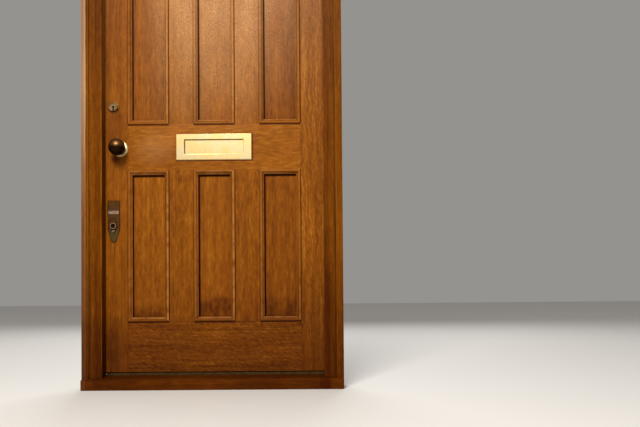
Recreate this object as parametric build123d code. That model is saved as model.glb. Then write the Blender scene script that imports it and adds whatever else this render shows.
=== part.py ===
from build123d import *
import os

# A panelled oak front door hung in its frame, without the wall round it.
# Lengths are in millimetres. +X runs to the right seen from outside, +Y into the house, +Z up.
# The origin is the middle of the sill's underside, in the plane of the leaf's outer face.
# The leaf is hinged on the right and opens inwards. It is drawn shut, with its latch and bolts
# drawn back, so that it can swing.

# The leaf and its framing
LEAF_WIDTH = 813.0
LEAF_HEIGHT = 2032.0
LEAF_THICKNESS = 44.0
STILE_WIDTH = 92.0
MUNTIN_WIDTH = 92.0
TOP_RAIL_HEIGHT = 95.0
LOCK_RAIL_HEIGHT = 169.0
BOTTOM_RAIL_HEIGHT = 190.0
LOWER_PANEL_HEIGHT = 551.0
COLUMN_NAMES = ("left", "middle", "right")

# Joints inside the leaf
TENON_THICKNESS = 14.0
RAIL_TENON_COVER = 28.0
RAIL_TENON_HAUNCH = 22.0
TWIN_TENON_GAP = 30.0
TENON_END_GAP = 2.0
MUNTIN_TENON_LENGTH = 36.0
MUNTIN_TENON_SHOULDER = 17.0
CASE_TO_TENON = 7.0

# Panels and the mouldings planted round them
PANEL_THICKNESS = 14.0
PANEL_GROOVE_DEPTH = 12.0
PANEL_SHRINKAGE_GAP = 2.0
PANEL_FACE_PLAY = 0.2
MOULDING_WIDTH = 16.0
MOULDING_PROUD = 4.0
BEAD_WIDTH = 8.5
BEAD_RISE = 2.5
QUIRK_WIDTH = 1.0
QUIRK_DEPTH = 1.0
MOULDING_EDGE_DROP = 5.5
MOULDING_EDGE_FLAT = 1.5

# The frame
FRAME_SETBACK = 47.0
SIDE_GAP = 3.0
TOP_GAP = 3.0
BOTTOM_GAP = 5.0
STOP_LAP = 10.0
FRAME_FLAT = 42.0
FRAME_QUIRK_WIDTH = 4.0
FRAME_QUIRK_DEPTH = 3.0
COVER_BEAD_WIDTH = 24.0
COVER_BEAD_PROUD = 11.0
COVER_BEAD_LIP = 3.0
COVER_BEAD_FLAT = 15.0
COVER_BEAD_ARRIS = 1.5
FRAME_TENON_THICKNESS = 28.0
FRAME_TENON_WIDTH = 40.0
HEAD_TENON_LENGTH = 48.0
SILL_TENON_LENGTH = 26.0
FIXING_HOLE_RADIUS = 4.0
FIXING_HOLE_COUNT = 4
LOWEST_FIXING_HOLE = 180.0
FIXING_HOLE_TOP_DROP = 302.0
FIXING_HOLE_SETBACK = 23.0

# Sill and water bar
SILL_HEIGHT = 45.0
SILL_NOSE = 22.0
SILL_SLOPE_DROP = 9.0
SILL_DRIP_WIDTH = 5.0
SILL_DRIP_DEPTH = 5.0
SILL_DRIP_SETBACK = 8.0
WATER_BAR_THICKNESS = 5.0
WATER_BAR_RISE = 9.0
WATER_BAR_SEAT = 12.0
WATER_BAR_SETBACK = 7.0
WATER_REBATE_HEIGHT = 8.0
WATER_BAR_CLEARANCE = 4.0

# Butt hinges
HINGE_HEIGHT = 100.0
HINGE_KNUCKLES = 5
HINGE_KNUCKLE_RADIUS = 6.0
HINGE_KNUCKLE_GAP = 0.3
HINGE_PLATE_THICKNESS = 2.4
HINGE_PLATE_GAP = 0.6
HINGE_PLATE_REACH = 30.0
HINGE_PIN_RADIUS = 3.0
HINGE_PIN_PLAY = 0.05
HINGE_PIN_HEAD_RADIUS = 4.6
HINGE_PIN_HEAD_HEIGHT = 3.0
HINGE_PIN_HEAD_RIM = 1.0
HINGE_FACE_CLEARANCE = 0.5
TOP_HINGE_DROP = 200.0
BOTTOM_HINGE_RISE = 225.0
HINGE_SCREW_PITCH = 34.0
HINGE_SCREW_STAGGER = 6.0

# Screws
SCREW_HEAD_RADIUS = 3.6
SCREW_HEAD_DEPTH = 2.0
SCREW_SHANK_RADIUS = 1.8
SCREW_LENGTH = 24.0
SCREW_POINT = 4.0
SCREW_PLAY = 0.05

# Mortice latch and its knobs
KNOB_BACKSET = 63.0
KNOB_DROP = 5.0
KNOB_RADIUS = 30.0
KNOB_STAND_OFF = 41.0
KNOB_NECK_RADIUS = 9.0
KNOB_FOOT_RADIUS = 14.0
KNOB_FOOT_HEIGHT = 3.0
KNOB_SOCKET_DEPTH = 24.0
ROSE_RADIUS = 31.0
ROSE_HEIGHT = 8.0
ROSE_RIM = 1.6
ROSE_CROWN_RADIUS = 18.0
ROSE_BORE_RADIUS = 10.4
RUNNING_GAP = 0.4
SPINDLE_WIDTH = 8.0
SPINDLE_PLAY = 0.1
SPINDLE_BORE_RADIUS = 11.0
FOLLOWER_RADIUS = 10.0
FOLLOWER_PLAY = 0.3
LATCH_CASE_HEIGHT = 60.0
LATCH_CASE_TAIL = 18.0
LATCH_BOLT_THICKNESS = 10.0
LATCH_BOLT_HEIGHT = 22.0
LATCH_BOLT_LENGTH = 26.0
LATCH_NOSE_FLAT = 2.5
LATCH_THROW = 12.0

# Lock cases, forends and keeps
CASE_THICKNESS = 15.0
CASE_PLAY = 0.2
FOREND_WIDTH = 22.0
FOREND_THICKNESS = 3.0
FOREND_EAR = 22.0
BOLT_PLAY = 0.3
BOLT_TAIL_THICKNESS = 5.0
BOLT_TAIL_HEIGHT = 9.0
BOLT_TAIL_LENGTH = 18.0
DEADBOLT_THICKNESS = 9.0
DEADBOLT_HEIGHT = 22.0
DEADBOLT_LENGTH = 36.0
DEADBOLT_THROW = 20.0
KEEP_THICKNESS = 2.0
KEEP_WIDTH = 32.0
KEEP_EAR = 24.0
KEEP_WINDOW_PLAY = 1.2
KEEP_POCKET_SPARE = 4.0

# Upper lock and its key escutcheons
KEY_BACKSET = 40.0
UPPER_KEY_RISE = 148.5
UPPER_CASE_ABOVE = 42.0
UPPER_CASE_BELOW = 30.0
UPPER_BOLT_RISE = 22.0
LOCK_CASE_TAIL = 20.0
KEYHOLE_RADIUS = 4.3
KEYHOLE_SLOT_WIDTH = 5.0
KEYHOLE_DROP = 13.5
KEYWAY_MARGIN = 1.5
ESCUTCHEON_RADIUS = 22.0
ESCUTCHEON_RIM = 2.6
ESCUTCHEON_DISC_RADIUS = 16.3
ESCUTCHEON_DISC_HEIGHT = 6.4
ESCUTCHEON_RIM_ROUND = 1.6
ESCUTCHEON_DISC_ROUND = 1.8

# Lower lock, its plates and cylinder
LOWER_CYLINDER_DROP = 287.0
LOWER_CASE_ABOVE = 52.0
LOWER_CASE_BELOW = 32.0
LOWER_BOLT_RISE = 30.0
LOCK_PLATE_WIDTH = 45.0
LOCK_PLATE_ABOVE = 93.0
LOCK_PLATE_BELOW = 59.0
LOCK_PLATE_TIP_RADIUS = 11.0
LOCK_PLATE_TAPER_DROP = 13.0
LOCK_PLATE_THICKNESS = 4.5
LOCK_PLATE_EDGE = 1.5
BAND_WIDTH = 41.0
BAND_HEIGHT = 17.5
BAND_THICKNESS = 1.4
BAND_CORNER = 3.0
BAND_RISE = 52.5
RING_RADIUS = 12.8
RING_BORE_RADIUS = 7.4
RING_HEIGHT = 14.0
RING_EDGE = 1.8
PLUG_PLAY = 0.3
PLUG_RECESS = 6.0
KEY_SLOT_WIDTH = 2.2
KEY_SLOT_HEIGHT = 9.0
KEY_SLOT_DEPTH = 12.0
LIP_WIDTH = 15.0
LIP_POINT_WIDTH = 3.0
LIP_RISE = 15.5
LIP_HEIGHT = 10.0
LIP_PROUD = 7.0
LIP_TAPER = 9.0
INNER_PLATE_WIDTH = 40.0
INNER_PLATE_HEIGHT = 116.0
INNER_PLATE_THICKNESS = 3.5
INNER_PLATE_CORNER = 10.0
TURN_BOSS_RADIUS = 12.0
TURN_BOSS_HEIGHT = 9.0
TURN_GRIP_WIDTH = 30.0
TURN_GRIP_THICKNESS = 8.0
TURN_GRIP_HEIGHT = 15.0

# Letter plate
LETTER_PLATE_SIDE_BORDER = 31.0
LETTER_PLATE_EDGE_BORDER = 22.0
LETTER_PLATE_THICKNESS = 6.0
LETTER_PLATE_BEVEL = 2.6
LETTER_WINDOW_WIDTH = 216.0
LETTER_WINDOW_HEIGHT = 53.0
LETTER_WINDOW_BEVEL = 1.0
LETTER_WINDOW_BEVEL_ANGLE = 45.0
FLAP_POCKET_DEPTH = 3.0
FLAP_THICKNESS = 2.4
FLAP_LAP = 3.0
FLAP_PLAY = 1.0
FLAP_FACE_PLAY = 0.2
FLAP_BARREL_RADIUS = 3.2
FLAP_PIN_RADIUS = 1.5
FLAP_PIN_PLAY = 0.06
FLAP_LUG_WIDTH = 5.0
FLAP_LUG_DEPTH = 4.6
SPRING_LENGTH = 26.0
SPRING_RADIUS = 2.7
SLOT_MARGIN = 1.5
INNER_FRAME_SIDE_BORDER = 28.0
INNER_FRAME_EDGE_BORDER = 21.5
INNER_FRAME_THICKNESS = 2.5
INNER_FLAP_THICKNESS = 1.8
INNER_FLAP_LAP = 5.0
INNER_FLAP_GAP = 0.3
PLATE_BOLT_SETBACK = 7.5
PLATE_POST_RADIUS = 4.0
PLATE_POST_LENGTH = 22.0
PLATE_BOLT_RADIUS = 2.4
PLATE_BOLT_HEAD_RADIUS = 4.2
PLATE_BOLT_HEAD_HEIGHT = 2.4
PLATE_BOLT_PLAY = 0.1

# Levels and lines that follow from the sizes
LEAF_HALF = LEAF_WIDTH / 2
LEAF_BOTTOM = SILL_HEIGHT + BOTTOM_GAP
LEAF_TOP = LEAF_BOTTOM + LEAF_HEIGHT
LEAF_MIDDLE_Y = LEAF_THICKNESS / 2
STILE_INNER = LEAF_HALF - STILE_WIDTH
BOTTOM_RAIL_TOP = LEAF_BOTTOM + BOTTOM_RAIL_HEIGHT
LOCK_RAIL_BOTTOM = BOTTOM_RAIL_TOP + LOWER_PANEL_HEIGHT
LOCK_RAIL_TOP = LOCK_RAIL_BOTTOM + LOCK_RAIL_HEIGHT
LOCK_RAIL_MIDDLE = (LOCK_RAIL_BOTTOM + LOCK_RAIL_TOP) / 2
TOP_RAIL_BOTTOM = LEAF_TOP - TOP_RAIL_HEIGHT
PANEL_OPENING = (2 * STILE_INNER - (len(COLUMN_NAMES) - 1) * MUNTIN_WIDTH) / len(COLUMN_NAMES)
PANEL_RECESS = (LEAF_THICKNESS - PANEL_THICKNESS) / 2
RAIL_TENON_LENGTH = STILE_WIDTH - RAIL_TENON_COVER

SIGHT_HALF = LEAF_HALF - STOP_LAP
REBATE_HALF = LEAF_HALF + SIDE_GAP
JAMB_FACE = FRAME_FLAT + FRAME_QUIRK_WIDTH + COVER_BEAD_WIDTH
FRAME_HALF = SIGHT_HALF + JAMB_FACE
HEAD_SIGHT = LEAF_TOP - STOP_LAP
HEAD_REBATE = LEAF_TOP + TOP_GAP
FRAME_TOP = HEAD_SIGHT + JAMB_FACE
FRAME_FRONT = -FRAME_SETBACK
FRAME_BACK = LEAF_THICKNESS

HINGE_X = LEAF_HALF + SIDE_GAP / 2
HINGE_Y = LEAF_THICKNESS + HINGE_KNUCKLE_RADIUS + HINGE_FACE_CLEARANCE
HINGE_LEVELS = {
    "top": LEAF_TOP - TOP_HINGE_DROP,
    "middle": (LEAF_TOP - TOP_HINGE_DROP + LEAF_BOTTOM + BOTTOM_HINGE_RISE) / 2,
    "bottom": LEAF_BOTTOM + BOTTOM_HINGE_RISE,
}

KNOB_X = -LEAF_HALF + KNOB_BACKSET
KNOB_Z = LOCK_RAIL_MIDDLE - KNOB_DROP
KEY_X = -LEAF_HALF + KEY_BACKSET
UPPER_KEY_Z = LOCK_RAIL_MIDDLE + UPPER_KEY_RISE
CYLINDER_Z = LOCK_RAIL_MIDDLE - LOWER_CYLINDER_DROP
UPPER_BOLT_Z = UPPER_KEY_Z + UPPER_BOLT_RISE
LOWER_BOLT_Z = CYLINDER_Z + LOWER_BOLT_RISE
LATCH_CASE_BOTTOM = KNOB_Z - LATCH_CASE_HEIGHT / 2
LATCH_CASE_TOP = KNOB_Z + LATCH_CASE_HEIGHT / 2

LETTER_PLATE_WIDTH = LETTER_WINDOW_WIDTH + 2 * LETTER_PLATE_SIDE_BORDER
LETTER_PLATE_HEIGHT = LETTER_WINDOW_HEIGHT + 2 * LETTER_PLATE_EDGE_BORDER
FLAP_WIDTH = LETTER_WINDOW_WIDTH + 2 * FLAP_LAP
FLAP_BOTTOM = -LETTER_WINDOW_HEIGHT / 2 - FLAP_LAP
FLAP_AXIS_RISE = LETTER_WINDOW_HEIGHT / 2 + FLAP_BARREL_RADIUS + FLAP_PLAY
FLAP_AXIS_Y = -FLAP_POCKET_DEPTH + FLAP_FACE_PLAY + FLAP_BARREL_RADIUS
FLAP_LUG_START = FLAP_WIDTH / 2 + FLAP_PLAY
LETTER_SLOT_HALF = FLAP_LUG_START + FLAP_LUG_WIDTH + SLOT_MARGIN
LETTER_SLOT_TOP = FLAP_AXIS_RISE + FLAP_BARREL_RADIUS + SLOT_MARGIN
LETTER_SLOT_BOTTOM = FLAP_BOTTOM - SLOT_MARGIN
INNER_FRAME_Y = LEAF_THICKNESS + INNER_FRAME_THICKNESS
INNER_FRAME_WIDTH = LETTER_WINDOW_WIDTH + 2 * INNER_FRAME_SIDE_BORDER
INNER_FRAME_HEIGHT = LETTER_WINDOW_HEIGHT + 2 * INNER_FRAME_EDGE_BORDER
INNER_WINDOW_HALF = LETTER_WINDOW_WIDTH / 2
INNER_FLAP_HALF = INNER_WINDOW_HALF + INNER_FLAP_LAP
INNER_AXIS_RISE = LETTER_WINDOW_HEIGHT / 2 + INNER_FLAP_LAP + FLAP_BARREL_RADIUS
INNER_AXIS_Y = INNER_FRAME_Y + INNER_FLAP_GAP + FLAP_BARREL_RADIUS
PLATE_BOLT_X = LETTER_SLOT_HALF + PLATE_BOLT_SETBACK

LEAF_Y = (0, LEAF_THICKNESS)
LOWER_ROW = (BOTTOM_RAIL_TOP, LOCK_RAIL_BOTTOM)
UPPER_ROW = (LOCK_RAIL_TOP, TOP_RAIL_BOTTOM)


def block(x, y, z):
    """A box between a low and a high value on each axis."""
    sizes = [high - low for low, high in (x, y, z)]
    middles = [(high + low) / 2 for low, high in (x, y, z)]
    return Pos(*middles) * Box(*sizes)


def about(middle, width):
    """The low and high ends of a width centred on middle."""
    return (middle - width / 2, middle + width / 2)


def outward(x, y, z):
    """Places a piece drawn in a flat XY plane on an outer face, its +Z pointing out of doors."""
    return Pos(x, y, z) * Rot(90, 0, 0)


def inward(x, y, z):
    """Places a piece drawn in a flat XY plane on an inner face, its +Z pointing into the house."""
    return Pos(x, y, z) * Rot(90, 0, 0) * Rot(0, 180, 0)


def to_left(x, y, z):
    """Places a piece with its +Z pointing along -X."""
    return Pos(x, y, z) * Rot(0, -90, 0)


def to_right(x, y, z):
    """Places a piece with its +Z pointing along +X."""
    return Pos(x, y, z) * Rot(0, 90, 0)


def turned(edges):
    """A piece turned about Z from a half profile of (radius, height) edges."""
    return revolve(Plane.XZ * make_face(edges), axis=Axis.Z)


def turned_polygon(*points):
    """A piece turned about Z from a half profile of (radius, height) points."""
    return turned(Polyline(*points, close=True))


def along_x(points, half_length):
    """A section of (y, z) points run both ways along X."""
    return extrude(Plane.YZ * make_face(Polyline(*points, close=True)), amount=half_length, both=True)


def mitred_run(section, length, width, start=True, end=True):
    """A moulding run along +X. Its section is in (inwards, up), and each mitred end is cut at 45 degrees."""
    body = extrude(Plane.YZ * section, amount=length)
    start_inset = width if start else 0
    end_inset = width if end else 0
    outline = Polyline((0, 0), (length, 0), (length - end_inset, width), (start_inset, width), close=True)
    return body & extrude(make_face(outline), amount=2 * width, both=True)


def countersunk_screw(play=0.0):
    """A screw with its flat head in the XY plane and its shank along -Z."""
    return turned_polygon(
        (0, 0),
        (SCREW_HEAD_RADIUS + play, 0),
        (SCREW_SHANK_RADIUS + play, -SCREW_HEAD_DEPTH - play),
        (SCREW_SHANK_RADIUS + play, -SCREW_LENGTH + SCREW_POINT),
        (0, -SCREW_LENGTH - play),
    )


def cut_all(solid, tools):
    """A solid with each tool cut from it in turn."""
    for tool in tools:
        solid -= tool
    return solid


def joined(solids):
    """Several separate solids written as one node."""
    return Compound([solid for piece in solids for solid in piece.solids()])


def panel_columns():
    """The left and right edge of each panel opening."""
    step = PANEL_OPENING + MUNTIN_WIDTH
    lefts = [-STILE_INNER + step * n for n in range(len(COLUMN_NAMES))]
    return [(left, left + PANEL_OPENING) for left in lefts]


# Sill, jambs and head

def sill_blank():
    """The sill before it is grooved or morticed: level under the leaf, sloping down to its nose."""
    nose = FRAME_FRONT - SILL_NOSE
    section = [
        (FRAME_BACK, 0),
        (FRAME_BACK, SILL_HEIGHT),
        (0, SILL_HEIGHT),
        (nose, SILL_HEIGHT - SILL_SLOPE_DROP),
        (nose, 0),
    ]
    return along_x(section, FRAME_HALF)


def frame_tenon(side, low, high):
    """A jamb's tenon, on the side -1 or 1, between two levels."""
    outer = FRAME_HALF - (FRAME_HALF - REBATE_HALF - FRAME_TENON_WIDTH) / 2
    x = sorted((side * outer, side * (outer - FRAME_TENON_WIDTH)))
    return block(x, about(0, FRAME_TENON_THICKNESS), (low, high))


def frame_quirk():
    """The small groove between the frame's flat face and its cover bead, cut in jambs and head."""
    inner = SIGHT_HALF + FRAME_FLAT
    outer = inner + FRAME_QUIRK_WIDTH
    depth = (FRAME_FRONT, FRAME_FRONT + FRAME_QUIRK_DEPTH)
    top_inner = HEAD_SIGHT + FRAME_FLAT
    top_outer = top_inner + FRAME_QUIRK_WIDTH
    return block((-outer, outer), depth, (0, top_outer)) - block((-inner, inner), depth, (0, top_inner))


def fixing_holes(side):
    """Holes through a jamb's stop for the screws that fix the frame to the wall."""
    x = side * (SIGHT_HALF + FRAME_HALF) / 2
    highest = HEAD_SIGHT - FIXING_HOLE_TOP_DROP
    spacing = (highest - LOWEST_FIXING_HOLE) / (FIXING_HOLE_COUNT - 1)
    levels = [LOWEST_FIXING_HOLE + spacing * n for n in range(FIXING_HOLE_COUNT)]
    return [
        Pos(x, -FIXING_HOLE_SETBACK, level) * Rot(0, 90, 0) * Cylinder(FIXING_HOLE_RADIUS, 2 * JAMB_FACE)
        for level in levels
    ]


def jamb(side, cuts):
    x = sorted((side * SIGHT_HALF, side * FRAME_HALF))
    body = block(x, (FRAME_FRONT, FRAME_BACK), (0, HEAD_SIGHT))
    body -= block(sorted((side * SIGHT_HALF, side * REBATE_HALF)), LEAF_Y, (0, HEAD_SIGHT))
    body -= sill_blank()
    body += frame_tenon(side, SILL_HEIGHT - SILL_TENON_LENGTH, SILL_HEIGHT + SILL_TENON_LENGTH)
    body += frame_tenon(side, HEAD_SIGHT - HEAD_TENON_LENGTH, HEAD_SIGHT + HEAD_TENON_LENGTH)
    return cut_all(body, [frame_quirk(), *fixing_holes(side), *cuts])


def frame_head():
    body = block((-FRAME_HALF, FRAME_HALF), (FRAME_FRONT, FRAME_BACK), (HEAD_SIGHT, FRAME_TOP))
    body -= block((-REBATE_HALF, REBATE_HALF), LEAF_Y, (HEAD_SIGHT, HEAD_REBATE))
    end = HEAD_SIGHT + HEAD_TENON_LENGTH + TENON_END_GAP
    return cut_all(body, [frame_quirk(), frame_tenon(-1, HEAD_SIGHT, end), frame_tenon(1, HEAD_SIGHT, end)])


def water_bar():
    y = (WATER_BAR_SETBACK, WATER_BAR_SETBACK + WATER_BAR_THICKNESS)
    return block((-SIGHT_HALF, SIGHT_HALF), y, (SILL_HEIGHT - WATER_BAR_SEAT, SILL_HEIGHT + WATER_BAR_RISE))


def sill():
    start = SILL_HEIGHT - SILL_TENON_LENGTH - TENON_END_GAP
    mortices = [frame_tenon(side, start, SILL_HEIGHT) for side in (-1, 1)]
    drip_y = FRAME_FRONT - SILL_NOSE + SILL_DRIP_SETBACK
    drip = block((-FRAME_HALF, FRAME_HALF), (drip_y, drip_y + SILL_DRIP_WIDTH), (0, SILL_DRIP_DEPTH))
    return cut_all(sill_blank(), [*mortices, water_bar(), drip])


def cover_beads():
    """The bead round the outer edge of the frame's face: two uprights and the length over the head."""
    ovolo = EllipticalCenterArc(
        (COVER_BEAD_FLAT, COVER_BEAD_LIP),
        COVER_BEAD_WIDTH - COVER_BEAD_FLAT,
        COVER_BEAD_PROUD - COVER_BEAD_LIP,
    )
    flats = Polyline(
        ovolo @ 1, (COVER_BEAD_ARRIS, COVER_BEAD_PROUD), (0, COVER_BEAD_PROUD - COVER_BEAD_ARRIS),
        (0, 0), (COVER_BEAD_WIDTH, 0), ovolo @ 0,
    )
    section = make_face([ovolo, flats])
    place = outward(0, FRAME_FRONT, 0)
    upright = mitred_run(section, FRAME_TOP, COVER_BEAD_WIDTH, start=False)
    right = place * Pos(FRAME_HALF, 0, 0) * Rot(0, 0, 90) * upright - sill_blank()
    across = mitred_run(section, 2 * FRAME_HALF, COVER_BEAD_WIDTH)
    top = place * Pos(FRAME_HALF, FRAME_TOP, 0) * Rot(0, 0, 180) * across
    left = mirror(right, about=Plane.YZ)
    return joined([left, right, top])


# Framing of the leaf

def panel_groove(column, row):
    """The space that a panel's grooves open up in the members round it."""
    play = PANEL_FACE_PLAY
    return block(
        (column[0] - PANEL_GROOVE_DEPTH, column[1] + PANEL_GROOVE_DEPTH),
        (PANEL_RECESS - play, LEAF_THICKNESS - PANEL_RECESS + play),
        (row[0] - PANEL_GROOVE_DEPTH, row[1] + PANEL_GROOVE_DEPTH),
    )


def panel(column, row):
    reach = PANEL_GROOVE_DEPTH - PANEL_SHRINKAGE_GAP
    return block(
        (column[0] - reach, column[1] + reach),
        (PANEL_RECESS, LEAF_THICKNESS - PANEL_RECESS),
        (row[0] - reach, row[1] + reach),
    )


def tenon_levels():
    """The low and high level of each rail tenon. The lock rail's pass above and below the latch case."""
    bottom_low = LEAF_BOTTOM + RAIL_TENON_HAUNCH
    bottom_high = BOTTOM_RAIL_TOP - PANEL_GROOVE_DEPTH
    bottom_middle = (bottom_low + bottom_high) / 2
    return {
        "top": [(TOP_RAIL_BOTTOM + PANEL_GROOVE_DEPTH, LEAF_TOP - RAIL_TENON_HAUNCH)],
        "lock": [
            (LOCK_RAIL_BOTTOM + PANEL_GROOVE_DEPTH, LATCH_CASE_BOTTOM - CASE_TO_TENON),
            (LATCH_CASE_TOP + CASE_TO_TENON, LOCK_RAIL_TOP - PANEL_GROOVE_DEPTH),
        ],
        "bottom": [
            (bottom_low, bottom_middle - TWIN_TENON_GAP / 2),
            (bottom_middle + TWIN_TENON_GAP / 2, bottom_high),
        ],
    }


def rail_tenons(name, half_length):
    """A rail's tenons as bars right across the leaf, from tip to tip."""
    y = about(LEAF_MIDDLE_Y, TENON_THICKNESS)
    return [block((-half_length, half_length), y, level) for level in tenon_levels()[name]]


def water_rebate():
    depth = WATER_BAR_SETBACK + WATER_BAR_THICKNESS + WATER_BAR_CLEARANCE
    return block((-LEAF_HALF, LEAF_HALF), (0, depth), (LEAF_BOTTOM, LEAF_BOTTOM + WATER_REBATE_HEIGHT))


def stile(side, cuts):
    body = block(sorted((side * LEAF_HALF, side * STILE_INNER)), LEAF_Y, (LEAF_BOTTOM, LEAF_TOP))
    column = panel_columns()[0 if side < 0 else -1]
    grooves = [panel_groove(column, row) for row in (LOWER_ROW, UPPER_ROW)]
    reach = STILE_INNER + RAIL_TENON_LENGTH + TENON_END_GAP
    mortices = [bar for name in tenon_levels() for bar in rail_tenons(name, reach)]
    return cut_all(body, [*grooves, *mortices, water_rebate(), *cuts])


def muntin_tenon(column, low, high):
    x = (column[0] + MUNTIN_TENON_SHOULDER, column[1] - MUNTIN_TENON_SHOULDER)
    return block(x, about(LEAF_MIDDLE_Y, TENON_THICKNESS), (low, high))


def muntin_columns():
    columns = panel_columns()
    return [(before[1], after[0]) for before, after in zip(columns, columns[1:])]


def rail(name, level, cuts=()):
    """A rail with its tenons, grooved for the panels and morticed for the muntins."""
    body = block((-STILE_INNER, STILE_INNER), LEAF_Y, level)
    reach = MUNTIN_TENON_LENGTH + TENON_END_GAP
    for row in (LOWER_ROW, UPPER_ROW):
        body = cut_all(body, [panel_groove(column, row) for column in panel_columns()])
        for column in muntin_columns():
            body -= muntin_tenon(column, row[0] - reach, row[1] + reach)
    for tenon in rail_tenons(name, STILE_INNER + RAIL_TENON_LENGTH):
        body += tenon - block((-STILE_INNER, STILE_INNER), LEAF_Y, level)
    return cut_all(body, cuts)


def muntin(column, row):
    body = block(column, LEAF_Y, row)
    body = cut_all(body, [panel_groove(opening, row) for opening in panel_columns()])
    low = muntin_tenon(column, row[0] - MUNTIN_TENON_LENGTH, row[0])
    high = muntin_tenon(column, row[1], row[1] + MUNTIN_TENON_LENGTH)
    return body + low + high


def moulding_section():
    """The planted moulding in (inwards, up from the panel): a bead, a quirk, then a hollow to the edge."""
    bead_foot = PANEL_RECESS + MOULDING_PROUD - BEAD_RISE
    bead_top = PANEL_RECESS + MOULDING_PROUD
    quirk_floor = bead_foot - QUIRK_DEPTH
    hollow_start = (BEAD_WIDTH + QUIRK_WIDTH, bead_foot)
    edge_height = PANEL_RECESS - MOULDING_EDGE_DROP
    hollow_end = (MOULDING_WIDTH - MOULDING_EDGE_FLAT, edge_height)
    hollow_middle = (
        (hollow_start[0] + hollow_end[0]) / 2 - MOULDING_EDGE_FLAT / 2,
        (hollow_start[1] + hollow_end[1]) / 2 - MOULDING_EDGE_FLAT / 2,
    )
    return make_face([
        ThreePointArc((0, bead_foot), (BEAD_WIDTH / 2, bead_top), (BEAD_WIDTH, bead_foot)),
        Polyline((BEAD_WIDTH, bead_foot), (BEAD_WIDTH, quirk_floor),
                 (hollow_start[0], quirk_floor), hollow_start),
        ThreePointArc(hollow_start, hollow_middle, hollow_end),
        Polyline(hollow_end, (MOULDING_WIDTH, edge_height), (MOULDING_WIDTH, 0), (0, 0), (0, bead_foot)),
    ])


def panel_mouldings(row):
    """Four mitred lengths round every panel of a row, drawn about the middle of each opening."""
    width = PANEL_OPENING
    height = row[1] - row[0]
    section = moulding_section()
    across = mitred_run(section, width, MOULDING_WIDTH)
    upright = mitred_run(section, height, MOULDING_WIDTH)
    lengths = [
        Pos(-width / 2, -height / 2, 0) * across,
        Pos(width / 2, -height / 2, 0) * Rot(0, 0, 90) * upright,
        Pos(width / 2, height / 2, 0) * Rot(0, 0, 180) * across,
        Pos(-width / 2, height / 2, 0) * Rot(0, 0, 270) * upright,
    ]
    middle_z = (row[0] + row[1]) / 2
    outer, inner = [], []
    for column in panel_columns():
        middle_x = (column[0] + column[1]) / 2
        outer += [outward(middle_x, PANEL_RECESS, middle_z) * piece for piece in lengths]
        inner += [inward(middle_x, LEAF_THICKNESS - PANEL_RECESS, middle_z) * piece for piece in lengths]
    return joined(outer), joined(inner)


# Butt hinges

def hinge_plate_block(side, level):
    """The flat part of a hinge: side 1 is let into the frame, side -1 into the leaf."""
    near = HINGE_PLATE_GAP / 2
    far = near + HINGE_PLATE_THICKNESS
    x = sorted((HINGE_X + side * near, HINGE_X + side * far))
    y = (LEAF_THICKNESS - HINGE_PLATE_REACH, HINGE_Y)
    return block(x, y, about(level, HINGE_HEIGHT))


def hinge_screw_places(side, level):
    """Where the screws of a hinge plate sit, in its showing face."""
    x = HINGE_X + side * HINGE_PLATE_GAP / 2
    middle_y = LEAF_THICKNESS - HINGE_PLATE_REACH / 2
    places = []
    for step in (-1, 0, 1):
        y = middle_y + (HINGE_SCREW_STAGGER if step == 0 else -HINGE_SCREW_STAGGER) / 2
        place = to_left if side > 0 else to_right
        places.append(place(x, y, level + step * HINGE_SCREW_PITCH))
    return places


def hinge_plate(side, level):
    """A hinge plate with its own knuckles. The frame's takes the first, third and fifth of five."""
    body = hinge_plate_block(side, level)
    pitch = HINGE_HEIGHT / HINGE_KNUCKLES
    clearance = HINGE_KNUCKLE_RADIUS + HINGE_FACE_CLEARANCE / 2
    for n in range(HINGE_KNUCKLES):
        place = Pos(HINGE_X, HINGE_Y, level - HINGE_HEIGHT / 2 + pitch * (n + 0.5))
        own = (n % 2 == 0) == (side > 0)
        if own:
            body += place * Cylinder(HINGE_KNUCKLE_RADIUS, pitch - HINGE_KNUCKLE_GAP)
        else:
            body -= place * Cylinder(clearance, pitch + HINGE_KNUCKLE_GAP)
    pin_hole = Pos(HINGE_X, HINGE_Y, level) * Cylinder(HINGE_PIN_RADIUS + HINGE_PIN_PLAY, 2 * HINGE_HEIGHT)
    screws = [place * countersunk_screw(SCREW_PLAY) for place in hinge_screw_places(side, level)]
    return cut_all(body, [pin_hole, *screws])


def hinge_pin(level):
    """A pin with a turned button at each end of the knuckles."""
    half = HINGE_HEIGHT / 2
    button = half + HINGE_PIN_HEAD_HEIGHT
    rim = half + HINGE_PIN_HEAD_RIM
    head = HINGE_PIN_HEAD_RADIUS
    return Pos(HINGE_X, HINGE_Y, level) * turned_polygon(
        (0, -button), (HINGE_PIN_RADIUS, -button), (head, -rim), (head, -half),
        (HINGE_PIN_RADIUS, -half), (HINGE_PIN_RADIUS, half), (head, half), (head, rim),
        (HINGE_PIN_RADIUS, button), (0, button),
    )


# Lock cases, bolts and keeps

def case_block(case, play=0.0):
    """A case and its forend as plain blocks, which also cut its mortice in the stile."""
    y = about(LEAF_MIDDLE_Y, CASE_THICKNESS + 2 * play)
    body = block((-LEAF_HALF, case["back"] + play), y, (case["bottom"] - play, case["top"] + play))
    ear = (case["bottom"] - FOREND_EAR, case["top"] + FOREND_EAR)
    return body + block((-LEAF_HALF, -LEAF_HALF + FOREND_THICKNESS), about(LEAF_MIDDLE_Y, FOREND_WIDTH), ear)


def forend_screw_places(case):
    levels = (case["bottom"] - FOREND_EAR / 2, case["top"] + FOREND_EAR / 2)
    return [to_left(-LEAF_HALF, LEAF_MIDDLE_Y, level) for level in levels]


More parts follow.
